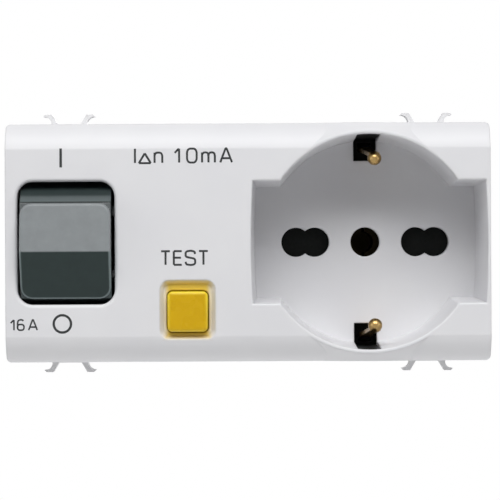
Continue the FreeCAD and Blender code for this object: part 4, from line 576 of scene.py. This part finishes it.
# Each letter's advance and strokes, in letters 1 high. A stroke is its kind and its points.
GLYPHS = {
    "A": (0.84, [(LINE, (0.0, 0.0), (0.38, 1.0)), (LINE, (0.84, 0.0), (0.46, 1.0)),
                 (LINE, (0.34, 1.0), (0.5, 1.0)), (LINE, (0.1, 0.3), (0.74, 0.3))]),
    "E": (0.58, [(LINE, (0.0, 0.0), (0.0, 1.0)), (LINE, (0.0, 1.0), (0.58, 1.0)),
                 (LINE, (0.0, 0.52), (0.52, 0.52)), (LINE, (0.0, 0.0), (0.58, 0.0))]),
    "I": (0.0, [(LINE, (0.0, 0.0), (0.0, 1.0))]),
    "L": (0.5, [(LINE, (0.0, 0.0), (0.0, 1.0)), (LINE, (0.0, 0.0), (0.5, 0.0))]),
    "N": (0.64, [(LINE, (0.0, 0.0), (0.0, 1.0)), (LINE, (0.0, 1.0), (0.64, 0.0)),
                 (LINE, (0.64, 0.0), (0.64, 1.0))]),
    "S": (0.7, [(CURVE, (0.68, 0.78), (0.66, 0.92), (0.52, 1.0), (0.2, 1.0), (0.04, 0.93), (0.0, 0.76),
                 (0.05, 0.6), (0.2, 0.54), (0.5, 0.48), (0.66, 0.41), (0.7, 0.24), (0.66, 0.07),
                 (0.5, 0.0), (0.2, 0.0), (0.04, 0.07), (0.01, 0.22))]),
    "T": (0.65, [(LINE, (0.0, 1.0), (0.65, 1.0)), (LINE, (0.325, 1.0), (0.325, 0.0))]),
    "m": (0.92, [(LINE, (0.0, 0.0), (0.0, 0.72)),
                 (CURVE, (0.0, 0.5), (0.07, 0.67), (0.24, 0.72), (0.4, 0.67), (0.46, 0.5)),
                 (CURVE, (0.46, 0.5), (0.53, 0.67), (0.7, 0.72), (0.86, 0.67), (0.92, 0.5)),
                 (LINE, (0.46, 0.52), (0.46, 0.0)), (LINE, (0.92, 0.52), (0.92, 0.0))]),
    "n": (0.54, [(LINE, (0.0, 0.0), (0.0, 0.72)), (LINE, (0.54, 0.52), (0.54, 0.0)),
                 (CURVE, (0.0, 0.5), (0.08, 0.67), (0.27, 0.72), (0.46, 0.67), (0.54, 0.5))]),
    "0": (0.69, [(LOOP, (0.345, 1.0), (0.55, 0.97), (0.66, 0.83), (0.69, 0.5), (0.66, 0.17), (0.55, 0.03),
                 (0.345, 0.0), (0.14, 0.03), (0.03, 0.17), (0.0, 0.5), (0.03, 0.83), (0.14, 0.97))]),
    "1": (0.5, [(LINE, (0.0, 0.7), (0.3, 1.0)), (LINE, (0.32, 1.0), (0.32, 0.0))]),
    "6": (0.6, [(LOOP, (0.3, 0.0), (0.5, 0.03), (0.6, 0.16), (0.6, 0.4), (0.5, 0.53), (0.3, 0.56),
                 (0.1, 0.53), (0.0, 0.4), (0.0, 0.16), (0.1, 0.03)),
                (CURVE, (0.0, 0.3), (0.0, 0.72), (0.06, 0.92), (0.22, 1.0), (0.44, 1.0), (0.56, 0.9))]),
    " ": (0.1, []),
}


def placed(glyph, left, low, unit, mirror=1):
    """A letter's strokes in millimetres, its lower left corner at (left, low), unit high."""
    return [(kind, *((left + u * unit * mirror, low + v * unit) for u, v in points))
            for kind, *points in GLYPHS[glyph][1]]


def spelled(text, left, right, low, high, weight):
    """The strokes of a word that fills a rectangle given in millimetres, its letters spaced evenly."""
    unit = high - low - weight
    room = right - left - weight - unit * sum(GLYPHS[glyph][0] for glyph in text)
    strokes = []
    at = left + weight / 2
    for glyph in text:
        strokes += placed(glyph, at, low + weight / 2, unit)
        at += GLYPHS[glyph][0] * unit + room / (len(text) - 1)
    return strokes


def printed(name, strokes, weight, face=FRONT_Y, outward=-1):
    """Lines of ink, weight millimetres wide, that lie as a thin film on the plane y = face."""
    path = bpy.data.curves.new(f"{name}_lines", "CURVE")
    path.dimensions = "3D"
    path.bevel_depth = weight / 2
    path.bevel_resolution = 2
    path.resolution_u = 6
    path.use_fill_caps = True
    for kind, *points in strokes:
        stroke = path.splines.new("BEZIER")
        stroke.bezier_points.add(len(points) - 1)
        stroke.use_cyclic_u = kind == LOOP
        for knot, (x, z) in zip(stroke.bezier_points, points):
            knot.co = (x, 0.0, z)
            knot.handle_left_type = knot.handle_right_type = "VECTOR" if kind == LINE else "AUTO"
    lines = new_object(f"{name}_lines", path)
    bpy.context.view_layer.update()
    mesh = bpy.data.meshes.new_from_object(lines.evaluated_get(bpy.context.evaluated_depsgraph_get()))
    bpy.data.objects.remove(lines)
    for v in mesh.vertices:
        rise = (0.5 + v.co.y / weight * outward) * INK_HEIGHT
        v.co = Vector((v.co.x * MM, (face + rise * outward) * MM, v.co.z * MM))
    mesh.materials.clear()
    mesh.materials.append(INK_FINISH)
    mark = new_object(name, mesh)
    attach(mark, "root")


def ring(x, z, radius):
    """A circle as one closed stroke."""
    turns = [n * math.tau / 12 for n in range(12)]
    return (LOOP, *((x + radius * math.cos(turn), z + radius * math.sin(turn)) for turn in turns))


def print_rated_values():
    """The rated current beside the rocker, and over the button the standard symbol of the rated
    residual current with its value."""
    letters_low = 14.46
    letters_high = 2.58
    delta = ((-19.7, 14.42), (-18.62, 16.2), (-17.55, 14.42))
    symbol = placed("I", -20.4, letters_low, letters_high) + placed("n", -16.85, letters_low, letters_high)
    symbol += [(LINE, delta[0], delta[2]), (LINE, delta[0], delta[1]), (LINE, delta[2], delta[1])]
    value = spelled("10mA", -13.4, -2.65, 14.3, 17.2, 0.38)
    printed("mark_current", spelled("16 A", -43.2, -38.1, -15.85, -13.7, 0.3), weight=0.3)
    printed("mark_residual", symbol + value, weight=0.38)


def print_terminal_marks():
    """The phase, the neutral and the earth symbol over their screws, read from behind."""
    letters_low = -10.6
    letters_high = 2.2
    earth_x = 33.5
    stem = (-8.2, -9.4)
    bars = ((1.15, -9.4), (0.72, -10.0), (0.3, -10.6))
    for name, glyph, left in (("mark_phase", "L", -36.6), ("mark_neutral", "N", -28.3)):
        strokes = placed(glyph, left, letters_low, letters_high, mirror=-1)
        printed(name, strokes, 0.32, REAR_Y, 1)
    earth = [(LINE, (earth_x, stem[0]), (earth_x, stem[1]))]
    earth += [(LINE, (earth_x - half, height), (earth_x + half, height)) for half, height in bars]
    printed("mark_earth", earth, 0.28, REAR_Y, 1)


# The bar and the circle for on and off, the button's word, the rated values and the terminals
printed("mark_on", [(LINE, (-33.85, 13.72), (-33.85, 17.16))], weight=0.46)
printed("mark_off", [ring(-33.7, -14.6, 1.56)], weight=0.44)
printed("mark_test", spelled("TEST", -15.95, -7.1, -4.2, -1.35, 0.38), weight=0.38)
print_rated_values()
print_terminal_marks()


# Light, floor and camera, in metres
FLOOR_LEVEL = -0.2
FLOOR_REACH = 6.0
SKY_STRENGTH = 0.03
CAMERA_PLACE = (0.00034, -0.4495, -0.0014)
CAMERA_ROLL = -0.3

# Each softbox's place, its size across and along, and its power. All of them face the origin.
SOFTBOXES = {
    "overhead_softbox": ((0.0, -0.4, 0.44), 0.58, 0.3, 4.0),
    "left_softbox": ((-0.5, -0.16, 0.05), 0.3, 0.3, 0.4),
    "right_softbox": ((0.5, -0.16, 0.05), 0.3, 0.3, 0.4),
    "rear_softbox": ((0.2, 0.7, 0.12), 0.4, 0.3, 2.6),
    "under_reflector": ((0.0, 0.02, -0.17), 0.3, 0.16, 0.14),
}


def shown_white(tree, kind, plain):
    """Cameras, mirrors and clear plastic see a white surface. The light itself falls on the plain one."""
    rays = add(tree, "ShaderNodeLightPath").outputs
    sees = add(tree, "ShaderNodeMath", {"operation": "MAXIMUM"}, links={
        0: rays["Is Camera Ray"], 1: rays["Is Glossy Ray"]})
    sees = add(tree, "ShaderNodeMath", {"operation": "MAXIMUM"}, links={
        0: sees, 1: rays["Is Transmission Ray"]})
    white = add(tree, kind, values={"Color": (1.0, 1.0, 1.0, 1.0), "Strength": 1.0})
    return add(tree, "ShaderNodeMixShader", links={0: sees, 1: plain, 2: white})


scene = bpy.context.scene
scene.world = bpy.data.worlds.new("studio")
scene.world.use_nodes = True
sky = scene.world.node_tree
sky.nodes.clear()
dim = add(sky, "ShaderNodeBackground", values={"Color": (1.0, 1.0, 1.0, 1.0), "Strength": SKY_STRENGTH})
add(sky, "ShaderNodeOutputWorld", links={"Surface": shown_white(sky, "ShaderNodeBackground", dim)})

for name, (place, width, height, power) in SOFTBOXES.items():
    lamp = bpy.data.lights.new(name, "AREA")
    lamp.shape = "RECTANGLE"
    lamp.size = width
    lamp.size_y = height
    lamp.energy = power
    stand = new_object(name, lamp)
    stand.location = place
    stand.rotation_euler = (Vector() - Vector(place)).to_track_quat("-Z", "Y").to_euler()
    stand.visible_camera = False

# The floor is matt paper: pale and even, with faint fibres, and it keeps the part's shadow
floor_mesh = bpy.data.meshes.new("studio_floor")
corners = [(x * FLOOR_REACH, y * FLOOR_REACH, FLOOR_LEVEL) for x, y in ((-1, -1), (1, -1), (1, 1), (-1, 1))]
floor_mesh.from_pydata(corners, [], [(0, 1, 2, 3)])
paper, paper_tree, paper_place = new_material("matt_paper")
fibre = add(paper_tree, "ShaderNodeTexNoise", values={
    "Scale": per_mm(3.0), "Detail": 3.0, "Roughness": 0.6}, links={"Vector": paper_place})
tone = add(paper_tree, "ShaderNodeValToRGB", stops=[(0.3, "#E2E2E2"), (0.7, "#E8E8E8")], links={"Fac": fibre})
matt = add(paper_tree, "ShaderNodeBsdfDiffuse", links={"Color": tone})
add(paper_tree, "ShaderNodeOutputMaterial", links={
    "Surface": shown_white(paper_tree, "ShaderNodeEmission", matt)})
floor_mesh.materials.append(paper)
new_object("studio_floor", floor_mesh)

camera = bpy.data.cameras.new("camera")
camera.lens = 175.0
camera.sensor_width = 36.0
camera.clip_start = 0.01
tripod = new_object("camera", camera)
level = Euler((math.radians(90.0), 0.0, 0.0)).to_matrix()
look = level @ Matrix.Rotation(math.radians(CAMERA_ROLL), 3, "Z")
tripod.matrix_world = Matrix.Translation(CAMERA_PLACE) @ look.to_4x4()
scene.camera = tripod
scene.view_settings.view_transform = "Standard"
